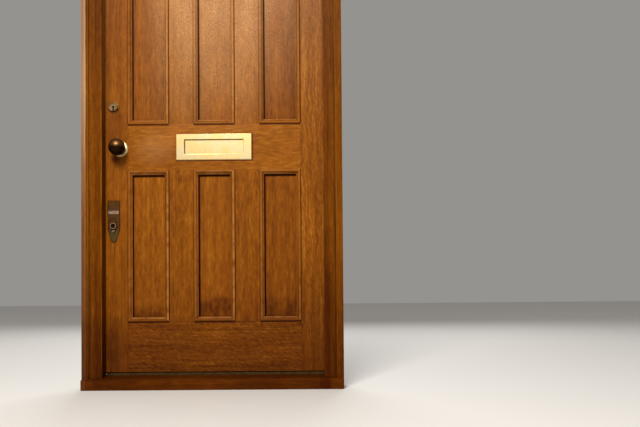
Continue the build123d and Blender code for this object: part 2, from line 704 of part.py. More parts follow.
def bolt(case, play=0.0):
    """A bolt drawn back, its nose in the forend's face, with a thinner tail inside the case."""
    nose = -LEAF_HALF
    shoulder = nose + case["bolt_length"]
    thickness = case["bolt_thickness"] + 2 * play
    height = case["bolt_height"] + 2 * play
    head = block((nose, shoulder + play), about(LEAF_MIDDLE_Y, thickness), about(case["bolt_z"], height))
    tail = block(
        (shoulder - play, shoulder + BOLT_TAIL_LENGTH + play),
        about(LEAF_MIDDLE_Y, BOLT_TAIL_THICKNESS + 2 * play),
        about(case["bolt_z"], BOLT_TAIL_HEIGHT + 2 * play),
    )
    return head + tail


def lock_case(case, cuts):
    screws = [place * countersunk_screw(SCREW_PLAY) for place in forend_screw_places(case)]
    return cut_all(case_block(case), [bolt(case, BOLT_PLAY), *screws, *cuts])


def latch_bolt():
    """The spring latch, its nose bevelled on the side that meets the keep as the leaf shuts."""
    nose = -LEAF_HALF
    front = LEAF_MIDDLE_Y - LATCH_BOLT_THICKNESS / 2
    back = LEAF_MIDDLE_Y + LATCH_BOLT_THICKNESS / 2 - LATCH_NOSE_FLAT
    outline = Polyline((nose, front), (nose + LATCH_THROW, front), (nose, back), close=True)
    bevel = Pos(0, 0, KNOB_Z) * extrude(make_face(outline), amount=LATCH_BOLT_HEIGHT, both=True)
    return bolt(LATCH_CASE) - bevel


def keep_window(case, x):
    play = 2 * KEEP_WINDOW_PLAY
    y = about(LEAF_MIDDLE_Y, case["bolt_thickness"] + play)
    return block(x, y, about(case["bolt_z"], case["bolt_height"] + play))


def keep_block(case):
    x = (-REBATE_HALF - KEEP_THICKNESS, -REBATE_HALF)
    height = case["bolt_height"] + 2 * KEEP_EAR
    return block(x, about(LEAF_MIDDLE_Y, KEEP_WIDTH), about(case["bolt_z"], height))


def keep_screw_places(case):
    rise = (case["bolt_height"] + KEEP_EAR) / 2
    return [to_right(-REBATE_HALF, LEAF_MIDDLE_Y, case["bolt_z"] + sign * rise) for sign in (-1, 1)]


def keep(case):
    x = (-REBATE_HALF - KEEP_THICKNESS, -REBATE_HALF)
    screws = [place * countersunk_screw(SCREW_PLAY) for place in keep_screw_places(case)]
    return cut_all(keep_block(case), [keep_window(case, x), *screws])


def keep_cuts(case):
    """What a keep takes out of the jamb: its own bed, the bolt's pocket and its screw holes."""
    pocket_end = -LEAF_HALF - case["throw"] - KEEP_POCKET_SPARE
    screws = [place * countersunk_screw(SCREW_PLAY) for place in keep_screw_places(case)]
    return [keep_block(case), keep_window(case, (pocket_end, -REBATE_HALF)), *screws]


LATCH_CASE = {
    "bottom": LATCH_CASE_BOTTOM,
    "top": LATCH_CASE_TOP,
    "back": KNOB_X + LATCH_CASE_TAIL,
    "bolt_z": KNOB_Z,
    "bolt_length": LATCH_BOLT_LENGTH,
    "bolt_thickness": LATCH_BOLT_THICKNESS,
    "bolt_height": LATCH_BOLT_HEIGHT,
    "throw": LATCH_THROW,
}
DEADBOLT = {
    "back": KEY_X + LOCK_CASE_TAIL,
    "bolt_length": DEADBOLT_LENGTH,
    "bolt_thickness": DEADBOLT_THICKNESS,
    "bolt_height": DEADBOLT_HEIGHT,
    "throw": DEADBOLT_THROW,
}
UPPER_CASE = {
    **DEADBOLT,
    "bottom": UPPER_KEY_Z - UPPER_CASE_BELOW,
    "top": UPPER_KEY_Z + UPPER_CASE_ABOVE,
    "bolt_z": UPPER_BOLT_Z,
}
LOWER_CASE = {
    **DEADBOLT,
    "bottom": CYLINDER_Z - LOWER_CASE_BELOW,
    "top": CYLINDER_Z + LOWER_CASE_ABOVE,
    "bolt_z": LOWER_BOLT_Z,
}
CASES = {"latch": LATCH_CASE, "upper": UPPER_CASE, "lower": LOWER_CASE}


# Knob set

def through_leaf(x, z, radius, y=LEAF_Y):
    """A round bar along Y, for a bore in the leaf."""
    middle = (y[0] + y[1]) / 2
    return Pos(x, middle, z) * Rot(90, 0, 0) * Cylinder(radius, y[1] - y[0])


def rose():
    """A brass rose that rises from a thin rim to a level crown round the knob's neck."""
    swell = EllipticalCenterArc(
        (ROSE_CROWN_RADIUS, ROSE_RIM),
        ROSE_RADIUS - ROSE_CROWN_RADIUS,
        ROSE_HEIGHT - ROSE_RIM,
    )
    rest = Polyline(
        swell @ 1, (ROSE_BORE_RADIUS, ROSE_HEIGHT), (ROSE_BORE_RADIUS, 0), (ROSE_RADIUS, 0), swell @ 0,
    )
    return turned([swell, rest])


def knob():
    """A ball on a short neck with a collar at its foot, socketed for the square spindle."""
    collar_low = ROSE_HEIGHT + RUNNING_GAP
    collar_high = collar_low + KNOB_FOOT_HEIGHT
    inside = ROSE_BORE_RADIUS - RUNNING_GAP
    ball = Pos(0, 0, KNOB_STAND_OFF) * Sphere(KNOB_RADIUS)
    foot = turned_polygon(
        (0, RUNNING_GAP), (inside, RUNNING_GAP), (inside, collar_low), (KNOB_FOOT_RADIUS, collar_low),
        (KNOB_FOOT_RADIUS, collar_low + KNOB_FOOT_HEIGHT / 2), (KNOB_NECK_RADIUS, collar_high),
        (KNOB_NECK_RADIUS, KNOB_STAND_OFF), (0, KNOB_STAND_OFF),
    )
    socket_width = SPINDLE_WIDTH + 2 * SPINDLE_PLAY
    socket = Pos(0, 0, KNOB_SOCKET_DEPTH / 2) * Box(socket_width, socket_width, KNOB_SOCKET_DEPTH)
    return ball + foot - socket


def spindle():
    """The square bar between the two knobs."""
    reach = KNOB_SOCKET_DEPTH - SPINDLE_PLAY
    y = (-reach, LEAF_THICKNESS + reach)
    return block(about(KNOB_X, SPINDLE_WIDTH), y, about(KNOB_Z, SPINDLE_WIDTH))


def follower():
    """The hub in the latch case that the spindle turns."""
    y = about(LEAF_MIDDLE_Y, CASE_THICKNESS)
    width = SPINDLE_WIDTH + 2 * SPINDLE_PLAY
    hub = through_leaf(KNOB_X, KNOB_Z, FOLLOWER_RADIUS, y)
    return hub - block(about(KNOB_X, width), y, about(KNOB_Z, width))


# Key escutcheons and the lower lock's plates

def keyhole(margin=0.0):
    """A round top with a slot hanging from it, drawn about the middle of the round."""
    drop = KEYHOLE_DROP + margin
    slot = Pos(0, -drop / 2) * Rectangle(KEYHOLE_SLOT_WIDTH + 2 * margin, drop)
    return Circle(KEYHOLE_RADIUS + margin) + slot


def keyway(margin=0.0):
    """A keyhole cut right through the leaf at the upper lock."""
    return outward(KEY_X, LEAF_THICKNESS, UPPER_KEY_Z) * extrude(keyhole(margin), amount=LEAF_THICKNESS)


def escutcheon():
    """A round plate with a raised disc in it and a keyhole through both."""
    profile = FilletPolyline(
        (0, 0), (ESCUTCHEON_RADIUS, 0), (ESCUTCHEON_RADIUS, ESCUTCHEON_RIM),
        (ESCUTCHEON_DISC_RADIUS, ESCUTCHEON_RIM), (ESCUTCHEON_DISC_RADIUS, ESCUTCHEON_DISC_HEIGHT),
        (0, ESCUTCHEON_DISC_HEIGHT),
        radius=[0, 0, ESCUTCHEON_RIM_ROUND, 0, ESCUTCHEON_DISC_ROUND, 0],
        close=True,
    )
    return turned(profile) - extrude(keyhole(), amount=ESCUTCHEON_DISC_HEIGHT)


def lock_plate_outline():
    """Square above, tapering below to a round tip, drawn about the cylinder's centre."""
    half = LOCK_PLATE_WIDTH / 2
    tip = LOCK_PLATE_TIP_RADIUS
    tip_centre = -LOCK_PLATE_BELOW + tip
    shoulder = (half, -LOCK_PLATE_TAPER_DROP)
    touch = tangent_point(shoulder, (0, tip_centre), tip)
    left_touch = (-touch[0], touch[1])
    return make_face([
        Polyline(touch, shoulder, (half, LOCK_PLATE_ABOVE), (-half, LOCK_PLATE_ABOVE),
                 (-half, -LOCK_PLATE_TAPER_DROP), left_touch),
        ThreePointArc(left_touch, (0, -LOCK_PLATE_BELOW), touch),
    ])


def tangent_point(point, centre, radius):
    """Where a line from a point touches a circle, on the side further from the Y axis."""
    across = point[0] - centre[0]
    up = point[1] - centre[1]
    distance = (across**2 + up**2) ** 0.5
    along = radius / distance
    beside = (1 - along**2) ** 0.5
    return (
        centre[0] + radius * (across * along + up * beside) / distance,
        centre[1] + radius * (up * along - across * beside) / distance,
    )


def lower_lock_plate():
    """The tapered plate with its cylinder ring, a tube behind it to the case, and a small pull lip."""
    plate = extrude(lock_plate_outline(), amount=LOCK_PLATE_THICKNESS)
    plate = chamfer(plate.edges().group_by(Axis.Z)[-1], LOCK_PLATE_EDGE)
    bore = RING_BORE_RADIUS
    ring = turned_polygon(
        (bore, 0), (RING_RADIUS, 0), (RING_RADIUS, RING_HEIGHT - RING_EDGE),
        (RING_RADIUS - RING_EDGE, RING_HEIGHT), (bore + RING_EDGE / 2, RING_HEIGHT),
        (bore, RING_HEIGHT - RING_EDGE / 2),
    )
    tube_end = -(LEAF_THICKNESS - CASE_THICKNESS) / 2 + CASE_PLAY
    tube = turned_polygon((bore, 0), (RING_RADIUS, 0), (RING_RADIUS, tube_end), (bore, tube_end))
    lip_outline = Polyline(
        (LIP_WIDTH / 2, -LIP_RISE), (-LIP_WIDTH / 2, -LIP_RISE),
        (-LIP_POINT_WIDTH / 2, -LIP_RISE - LIP_HEIGHT), (LIP_POINT_WIDTH / 2, -LIP_RISE - LIP_HEIGHT),
        close=True,
    )
    lip = extrude(make_face(lip_outline), amount=LIP_PROUD, taper=LIP_TAPER)
    plate -= Pos(0, 0, LOCK_PLATE_THICKNESS / 2) * Cylinder(bore, LOCK_PLATE_THICKNESS)
    return plate + ring + tube + Pos(0, 0, LOCK_PLATE_THICKNESS) * lip


def lower_lock_band():
    """The bare bright band across the upper part of the lower lock plate."""
    outline = Pos(0, BAND_RISE) * RectangleRounded(BAND_WIDTH, BAND_HEIGHT, BAND_CORNER)
    return Pos(0, 0, LOCK_PLATE_THICKNESS) * extrude(outline, amount=BAND_THICKNESS)


def cylinder_plug():
    """The part that the key turns, sunk in the ring, from the front to the middle of the case."""
    radius = RING_BORE_RADIUS - PLUG_PLAY
    front = RING_HEIGHT - PLUG_RECESS
    length = front + LEAF_MIDDLE_Y
    plug = Pos(0, 0, front - length / 2) * Cylinder(radius, length)
    slot = Pos(0, 0, front - KEY_SLOT_DEPTH / 2) * Box(KEY_SLOT_WIDTH, KEY_SLOT_HEIGHT, KEY_SLOT_DEPTH)
    return plug - slot


def inner_lock_plate():
    outline = RectangleRounded(INNER_PLATE_WIDTH, INNER_PLATE_HEIGHT, INNER_PLATE_CORNER)
    plate = extrude(outline, amount=INNER_PLATE_THICKNESS)
    boss = Pos(0, 0, TURN_BOSS_HEIGHT / 2) * Cylinder(TURN_BOSS_RADIUS, TURN_BOSS_HEIGHT)
    return plate + boss - Pos(0, 0, TURN_BOSS_HEIGHT / 2) * Cylinder(RING_BORE_RADIUS, TURN_BOSS_HEIGHT)


def thumb_turn():
    """An oval grip on a stem that reaches to the plug in the middle of the case."""
    radius = RING_BORE_RADIUS - PLUG_PLAY
    start = -LEAF_MIDDLE_Y
    grip_start = TURN_BOSS_HEIGHT + RUNNING_GAP
    length = grip_start - start
    stem = Pos(0, 0, start + length / 2) * Cylinder(radius, length)
    outline = Rot(0, 0, 90) * SlotOverall(TURN_GRIP_WIDTH, TURN_GRIP_THICKNESS)
    grip = extrude(outline, amount=TURN_GRIP_HEIGHT)
    return stem + Pos(0, 0, grip_start) * grip


# Letter plate

def flap_barrel(half_length, bore):
    """A barrel along X about the origin, bored for its pin."""
    barrel = Rot(0, 90, 0) * Cylinder(FLAP_BARREL_RADIUS, 2 * half_length)
    return barrel - Rot(0, 90, 0) * Cylinder(bore, 2 * half_length)


def flap_lugs(start, y, z, axis):
    """A pair of lugs that carry a flap's pin, at both ends of the flap."""
    lugs = []
    for side in (-1, 1):
        x = sorted((side * start, side * (start + FLAP_LUG_WIDTH)))
        lugs.append(block(x, y, z) - pin_bar(axis, start + FLAP_LUG_WIDTH, FLAP_PIN_PLAY))
    return lugs


def pin_bar(axis, half_length, play=0.0):
    """A flap's pin along X, at the (y, z) of its axis."""
    return Pos(0, *axis) * Rot(0, 90, 0) * Cylinder(FLAP_PIN_RADIUS + play, 2 * half_length)


def letter_plate():
    """The outer plate: a bevelled border, a window, a pocket for the flap, lugs and two posts behind."""
    window = Rectangle(LETTER_WINDOW_WIDTH, LETTER_WINDOW_HEIGHT)
    plate = extrude(Rectangle(LETTER_PLATE_WIDTH, LETTER_PLATE_HEIGHT), amount=LETTER_PLATE_THICKNESS)
    plate = chamfer(plate.edges().group_by(Axis.Z)[-1], LETTER_PLATE_BEVEL)
    plate -= extrude(window, amount=LETTER_PLATE_THICKNESS)
    splay = extrude(window, amount=LETTER_WINDOW_BEVEL, taper=-LETTER_WINDOW_BEVEL_ANGLE)
    plate -= Pos(0, 0, LETTER_PLATE_THICKNESS - LETTER_WINDOW_BEVEL) * splay
    body = outward(0, 0, LOCK_RAIL_MIDDLE) * plate
    pocket_top = LOCK_RAIL_MIDDLE + FLAP_AXIS_RISE + FLAP_BARREL_RADIUS + FLAP_PLAY / 2
    pocket_bottom = LOCK_RAIL_MIDDLE + FLAP_BOTTOM - FLAP_PLAY
    body -= block((-FLAP_LUG_START, FLAP_LUG_START), (-FLAP_POCKET_DEPTH, 0), (pocket_bottom, pocket_top))
    lug_bottom = LOCK_RAIL_MIDDLE + FLAP_AXIS_RISE - FLAP_BARREL_RADIUS
    axis = (FLAP_AXIS_Y, LOCK_RAIL_MIDDLE + FLAP_AXIS_RISE)
    for lug in flap_lugs(FLAP_LUG_START, (0, FLAP_LUG_DEPTH), (lug_bottom, pocket_top), axis):
        body += lug
    for side in (-1, 1):
        post = through_leaf(side * PLATE_BOLT_X, LOCK_RAIL_MIDDLE, PLATE_POST_RADIUS, (0, PLATE_POST_LENGTH))
        hole = through_leaf(side * PLATE_BOLT_X, LOCK_RAIL_MIDDLE, PLATE_BOLT_RADIUS + PLATE_BOLT_PLAY,
                            (0, PLATE_POST_LENGTH))
        body += post - hole
    return body - pin_bar(axis, FLAP_LUG_START + FLAP_LUG_WIDTH, FLAP_PIN_PLAY)


def letter_flap():
    """The outer flap, hung from its pin and swinging inwards, with a gap in its barrel for the spring."""
    front = -FLAP_POCKET_DEPTH + FLAP_FACE_PLAY
    half = FLAP_WIDTH / 2
    axis_z = LOCK_RAIL_MIDDLE + FLAP_AXIS_RISE
    bore = FLAP_PIN_RADIUS + FLAP_PIN_PLAY
    plate = block((-half, half), (front, front + FLAP_THICKNESS), (LOCK_RAIL_MIDDLE + FLAP_BOTTOM, axis_z))
    barrel = Pos(0, FLAP_AXIS_Y, axis_z) * flap_barrel(half, bore)
    body = plate + barrel - pin_bar((FLAP_AXIS_Y, axis_z), half, FLAP_PIN_PLAY)
    gap_half = SPRING_LENGTH / 2 + FLAP_PLAY
    reach = FLAP_BARREL_RADIUS + FLAP_FACE_PLAY / 2
    gap_y = (FLAP_AXIS_Y - reach, FLAP_AXIS_Y + reach)
    return body - block((-gap_half, gap_half), gap_y, (axis_z - reach, axis_z + reach))


def letter_flap_spring():
    """The torsion spring on the flap's pin, as the outer form of its coils."""
    axis_z = LOCK_RAIL_MIDDLE + FLAP_AXIS_RISE
    coils = Rot(0, 90, 0) * Cylinder(SPRING_RADIUS, SPRING_LENGTH)
    coils -= Rot(0, 90, 0) * Cylinder(FLAP_PIN_RADIUS + FLAP_PIN_PLAY, SPRING_LENGTH)
    return Pos(0, FLAP_AXIS_Y, axis_z) * coils


def inner_letter_frame():
    """The plate on the inner face, with lugs for its own flap and holes for the bolts."""
    z = LOCK_RAIL_MIDDLE
    y = (LEAF_THICKNESS, INNER_FRAME_Y)
    body = block(about(0, INNER_FRAME_WIDTH), y, about(z, INNER_FRAME_HEIGHT))
    body -= block((-INNER_WINDOW_HALF, INNER_WINDOW_HALF), y, about(z, LETTER_WINDOW_HEIGHT))
    axis = (INNER_AXIS_Y, z + INNER_AXIS_RISE)
    lug_y = (INNER_FRAME_Y, INNER_AXIS_Y + FLAP_BARREL_RADIUS)
    lug_z = (axis[1] - FLAP_BARREL_RADIUS, axis[1] + FLAP_BARREL_RADIUS)
    for lug in flap_lugs(INNER_FLAP_HALF + FLAP_PLAY, lug_y, lug_z, axis):
        body += lug
    hole = PLATE_BOLT_RADIUS + PLATE_BOLT_PLAY
    return cut_all(body, [through_leaf(side * PLATE_BOLT_X, z, hole, y) for side in (-1, 1)])


def inner_flap():
    """The draught flap inside, hanging over the inner window."""
    axis_z = LOCK_RAIL_MIDDLE + INNER_AXIS_RISE
    back = INNER_FRAME_Y + INNER_FLAP_GAP
    bore = FLAP_PIN_RADIUS + FLAP_PIN_PLAY
    bottom = LOCK_RAIL_MIDDLE - LETTER_WINDOW_HEIGHT / 2 - INNER_FLAP_LAP
    plate = block((-INNER_FLAP_HALF, INNER_FLAP_HALF), (back, back + INNER_FLAP_THICKNESS), (bottom, axis_z))
    barrel = Pos(0, INNER_AXIS_Y, axis_z) * flap_barrel(INNER_FLAP_HALF, bore)
    return plate + barrel - pin_bar((INNER_AXIS_Y, axis_z), INNER_FLAP_HALF, FLAP_PIN_PLAY)


def letter_fixings():
    """The pins of both flaps and the two bolts that draw the inner and outer plates together."""
    z = LOCK_RAIL_MIDDLE
    outer_pin = pin_bar((FLAP_AXIS_Y, z + FLAP_AXIS_RISE), FLAP_LUG_START + FLAP_LUG_WIDTH)
    inner_pin = pin_bar((INNER_AXIS_Y, z + INNER_AXIS_RISE), INNER_FLAP_HALF + FLAP_PLAY + FLAP_LUG_WIDTH)
    pieces = [outer_pin, inner_pin]
    for side in (-1, 1):
        x = side * PLATE_BOLT_X
        shank = through_leaf(x, z, PLATE_BOLT_RADIUS, (PLATE_POST_LENGTH / 2, INNER_FRAME_Y))
        head = (INNER_FRAME_Y, INNER_FRAME_Y + PLATE_BOLT_HEAD_HEIGHT)
        pieces.append(shank + through_leaf(x, z, PLATE_BOLT_HEAD_RADIUS, head))
    return joined(pieces)


def letter_slot_cuts():
    """The slot through the lock rail and the two bolt holes beside it."""
    z = (LOCK_RAIL_MIDDLE + LETTER_SLOT_BOTTOM, LOCK_RAIL_MIDDLE + LETTER_SLOT_TOP)
    slot = block((-LETTER_SLOT_HALF, LETTER_SLOT_HALF), LEAF_Y, z)
    radius = PLATE_POST_RADIUS + PLATE_BOLT_PLAY
    return [slot, *[through_leaf(side * PLATE_BOLT_X, LOCK_RAIL_MIDDLE, radius) for side in (-1, 1)]]


# Assembly

def lock_stile_cuts():
    """The mortices and bores that the lock side of the leaf needs."""
    cuts = [case_block(case, CASE_PLAY) for case in CASES.values()]
    for case in CASES.values():
        cuts += [place * countersunk_screw(SCREW_PLAY) for place in forend_screw_places(case)]
    cuts.append(through_leaf(KNOB_X, KNOB_Z, SPINDLE_BORE_RADIUS))
    cuts.append(keyway(KEYWAY_MARGIN))
    cuts.append(through_leaf(KEY_X, CYLINDER_Z, RING_RADIUS + CASE_PLAY, (0, LEAF_MIDDLE_Y)))
    cuts.append(through_leaf(KEY_X, CYLINDER_Z, RING_BORE_RADIUS, (LEAF_MIDDLE_Y, LEAF_THICKNESS)))
    return cuts


def hinge_cuts(side):
    """The housings and screw holes of the hinges in the hinge jamb (1) or the hinge stile (-1)."""
    cuts = []
    for level in HINGE_LEVELS.values():
        cuts.append(hinge_plate_block(side, level))
        cuts += [place * countersunk_screw(SCREW_PLAY) for place in hinge_screw_places(side, level)]
    return cuts


def frame_nodes():
    nodes = {
        "sill": sill(),
        "water_bar": water_bar(),
        "jamb_lock_side": jamb(-1, [cut for case in CASES.values() for cut in keep_cuts(case)]),
        "jamb_hinge_side": jamb(1, hinge_cuts(1)),
        "frame_head": frame_head(),
        "cover_beads": cover_beads(),
        "frame_hinge_plates": joined([hinge_plate(1, level) for level in HINGE_LEVELS.values()]),
        "hinge_pins": joined([hinge_pin(level) for level in HINGE_LEVELS.values()]),
    }
    places = [place for level in HINGE_LEVELS.values() for place in hinge_screw_places(1, level)]
    for name, case in CASES.items():
        nodes[f"{name}_keep"] = keep(case)
        places += keep_screw_places(case)
    nodes["frame_screws"] = joined([place * countersunk_screw() for place in places])
    return nodes


def leaf_nodes():
    nodes = {
        "lock_stile": stile(-1, lock_stile_cuts()),
        "hinge_stile": stile(1, hinge_cuts(-1)),
        "top_rail": rail("top", (TOP_RAIL_BOTTOM, LEAF_TOP)),
        "lock_rail": rail("lock", (LOCK_RAIL_BOTTOM, LOCK_RAIL_TOP), letter_slot_cuts()),
        "bottom_rail": rail("bottom", (LEAF_BOTTOM, BOTTOM_RAIL_TOP), [water_rebate()]),
    }
    for row_name, row in (("lower", LOWER_ROW), ("upper", UPPER_ROW)):
        for column_name, column in zip(COLUMN_NAMES, panel_columns()):
            nodes[f"panel_{row_name}_{column_name}"] = panel(column, row)
        for side_name, column in zip(("left", "right"), muntin_columns()):
            nodes[f"muntin_{row_name}_{side_name}"] = muntin(column, row)
        outer, inner = panel_mouldings(row)
        nodes[f"outer_mouldings_{row_name}"] = outer
        nodes[f"inner_mouldings_{row_name}"] = inner
    nodes["leaf_hinge_plates"] = joined([hinge_plate(-1, level) for level in HINGE_LEVELS.values()])
    places = [place for level in HINGE_LEVELS.values() for place in hinge_screw_places(-1, level)]
    for case in CASES.values():
        places += forend_screw_places(case)
    nodes["leaf_screws"] = joined([place * countersunk_screw() for place in places])
    return nodes


def ironmongery_nodes():
    """Everything in metal on the leaf, fixed or moving, apart from hinges and screws."""
    inner_face = LEAF_THICKNESS
    follower_bore = through_leaf(KNOB_X, KNOB_Z, FOLLOWER_RADIUS + FOLLOWER_PLAY)
    cylinder_bore = through_leaf(KEY_X, CYLINDER_Z, RING_BORE_RADIUS)
    return {
        "latch_case": lock_case(LATCH_CASE, [follower_bore]),
        "latch_bolt": latch_bolt(),
        "latch_follower": follower(),
        "knob_spindle": spindle(),
        "knob_outer": outward(KNOB_X, 0, KNOB_Z) * knob(),
        "knob_inner": inward(KNOB_X, inner_face, KNOB_Z) * knob(),
        "rose_outer": outward(KNOB_X, 0, KNOB_Z) * rose(),
        "rose_inner": inward(KNOB_X, inner_face, KNOB_Z) * rose(),
        "upper_lock_case": lock_case(UPPER_CASE, [keyway()]),
        "upper_bolt": bolt(UPPER_CASE),
        "key_escutcheon_outer": outward(KEY_X, 0, UPPER_KEY_Z) * escutcheon(),
        "key_escutcheon_inner": inward(KEY_X, inner_face, UPPER_KEY_Z) * escutcheon(),
        "lower_lock_case": lock_case(LOWER_CASE, [cylinder_bore]),
        "lower_bolt": bolt(LOWER_CASE),
        "lower_lock_plate": outward(KEY_X, 0, CYLINDER_Z) * lower_lock_plate(),
        "lower_lock_band": outward(KEY_X, 0, CYLINDER_Z) * lower_lock_band(),
        "cylinder_plug": outward(KEY_X, 0, CYLINDER_Z) * cylinder_plug(),
        "inner_lock_plate": inward(KEY_X, inner_face, CYLINDER_Z) * inner_lock_plate(),
        "thumb_turn": inward(KEY_X, inner_face, CYLINDER_Z) * thumb_turn(),
        "letter_plate": letter_plate(),
        "letter_flap": letter_flap(),
        "letter_flap_spring": letter_flap_spring(),
        "inner_letter_frame": inner_letter_frame(),
        "inner_letter_flap": inner_flap(),
        "letter_fixings": letter_fixings(),
    }


os.makedirs("parts", exist_ok=True)
for node_name, node in {**frame_nodes(), **leaf_nodes(), **ironmongery_nodes()}.items():
    export_step(node, f"parts/{node_name}.step")
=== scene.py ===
import math
import random

import bmesh
import bpy
import numpy as np
from mathutils import Matrix, Vector


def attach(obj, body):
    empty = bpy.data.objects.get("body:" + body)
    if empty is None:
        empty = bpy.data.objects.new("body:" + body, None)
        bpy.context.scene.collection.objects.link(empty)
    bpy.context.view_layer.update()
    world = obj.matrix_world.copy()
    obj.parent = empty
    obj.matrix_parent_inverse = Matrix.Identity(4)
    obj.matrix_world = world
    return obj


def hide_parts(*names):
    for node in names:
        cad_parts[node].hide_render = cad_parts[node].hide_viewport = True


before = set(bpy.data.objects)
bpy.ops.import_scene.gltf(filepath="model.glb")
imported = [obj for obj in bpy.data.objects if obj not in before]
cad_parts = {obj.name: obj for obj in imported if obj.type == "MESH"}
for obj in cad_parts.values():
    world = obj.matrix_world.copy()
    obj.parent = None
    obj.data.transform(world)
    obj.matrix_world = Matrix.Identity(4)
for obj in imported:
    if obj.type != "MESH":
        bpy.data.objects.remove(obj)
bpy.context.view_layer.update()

MM = 0.001

# Sizes and places are in millimetres, down to the stage. The scales of noise are per metre.
# Timber lines that the mouldings, beads and pellets share with the solids:
COLUMNS = {"left": (-314.5, -166.1667), "middle": (-74.1667, 74.1667), "right": (166.1667, 314.5)}
ROWS = {"lower": (240.0, 791.0), "upper": (960.0, 1987.0)}
PANEL_FACES = {"outer": (15.0, -1), "inner": (29.0, 1)}
PANEL_HALF = 74.1667
COLUMN_STEP = 240.3333
MUNTIN = 92.0
STILE_EDGE = 314.5
LEAF_HALF = 406.5
LEAF_FACES = (0.0, 44.0)
FRAME_FRONT = -47.0
FRAME_HALF = 466.5
FRAME_TOP = 2142.0
SIGHT_HALF = 396.5
SIGHT_TOP = 2072.0
SILL_FRONT = -69.0
SILL_HEIGHT = 45.0
SILL_FALL = 9.0
SILL_SLOPE = SILL_FALL / -SILL_FRONT
FIXING_LEVELS = [180.0, 710.0, 1240.0, 1770.0]
FIXING_Y = -23.0
FIXING_RADIUS = 4.0

# The moulding's section, inwards and up from the panel: a bead, a quirk, then a
# hollow down to a flat edge
BEAD_FOOT = 16.5
BEAD_TOP = 19.0
BEAD_WIDTH = 8.5
QUIRK_FLOOR = 15.5
QUIRK_END = 9.5
HOLLOW_END = 14.5
HOLLOW_SINK = 0.75
MOULDING_WIDTH = 16.0
MOULDING_EDGE = 9.5

# The cover bead's section: a flat with an eased corner, then an ovolo down to a lip
COVER_WIDTH = 24.0
COVER_PROUD = 11.0
COVER_FLAT = 15.0
COVER_LIP = 3.0
COVER_EASE = 1.5

# The middles of the fittings, and the half widths and heights of the letter plate
KNOB_Z = 870.5
KEY_X = -366.5
UPPER_KEY_Z = 1024.0
CYLINDER_Z = 588.5
BAND_TOP = 649.75
LETTER_Z = 875.5
LETTER_WINDOW = (108.0, 26.5)
LETTER_PLATE = (139.0, 48.5)

# Small sizes of the finished work. Only edges longer than LONG_EDGE or METAL_EDGE, and
# sharper than CORNER_ANGLE (in radians), are eased. FLAT_AREA is in square millimetres:
# a metal face larger than it stays flat.
MERGE = 0.004
FACE_SLACK = 0.2
LEAF_ARRIS = 0.3
FRAME_ARRIS = 1.6
METAL_ARRIS = 0.35
LONG_EDGE = 25.0
METAL_EDGE = 1.5
CORNER_ANGLE = 0.6
FLAT_AREA = 60.0
ARC_STEPS = 8
LATHE_STEPS = 32
SCREW_PROFILE = [(0, 0), (3.5, 0), (3.6, -0.12), (1.8, -2.0), (1.8, -20.0), (0, -24.0)]
SCREW_SLOT = (9, 1.1, 1.6)
PELLET_RADIUS = FIXING_RADIUS - 0.05
PELLET_PROFILE = [(0, 0.1), (3.0, 0.1), (PELLET_RADIUS, -0.15), (PELLET_RADIUS, -12), (0, -12)]
PELLET_GRAIN = (3.1, 1.7, 5.2)
PELLET_TONE = 0.3


def link_new(name, data):
    """An object around its data, in the scene."""
    thing = bpy.data.objects.new(name, data)
    bpy.context.collection.objects.link(thing)
    return thing


def add_node(tree, kind, **settings):
    """A new node in a tree, with its settings."""
    made = tree.nodes.new(kind)
    for name, value in settings.items():
        setattr(made, name, value)
    return made


# Shader maths

SHADOW_TINT = (0.35, 0.20, 0.12)


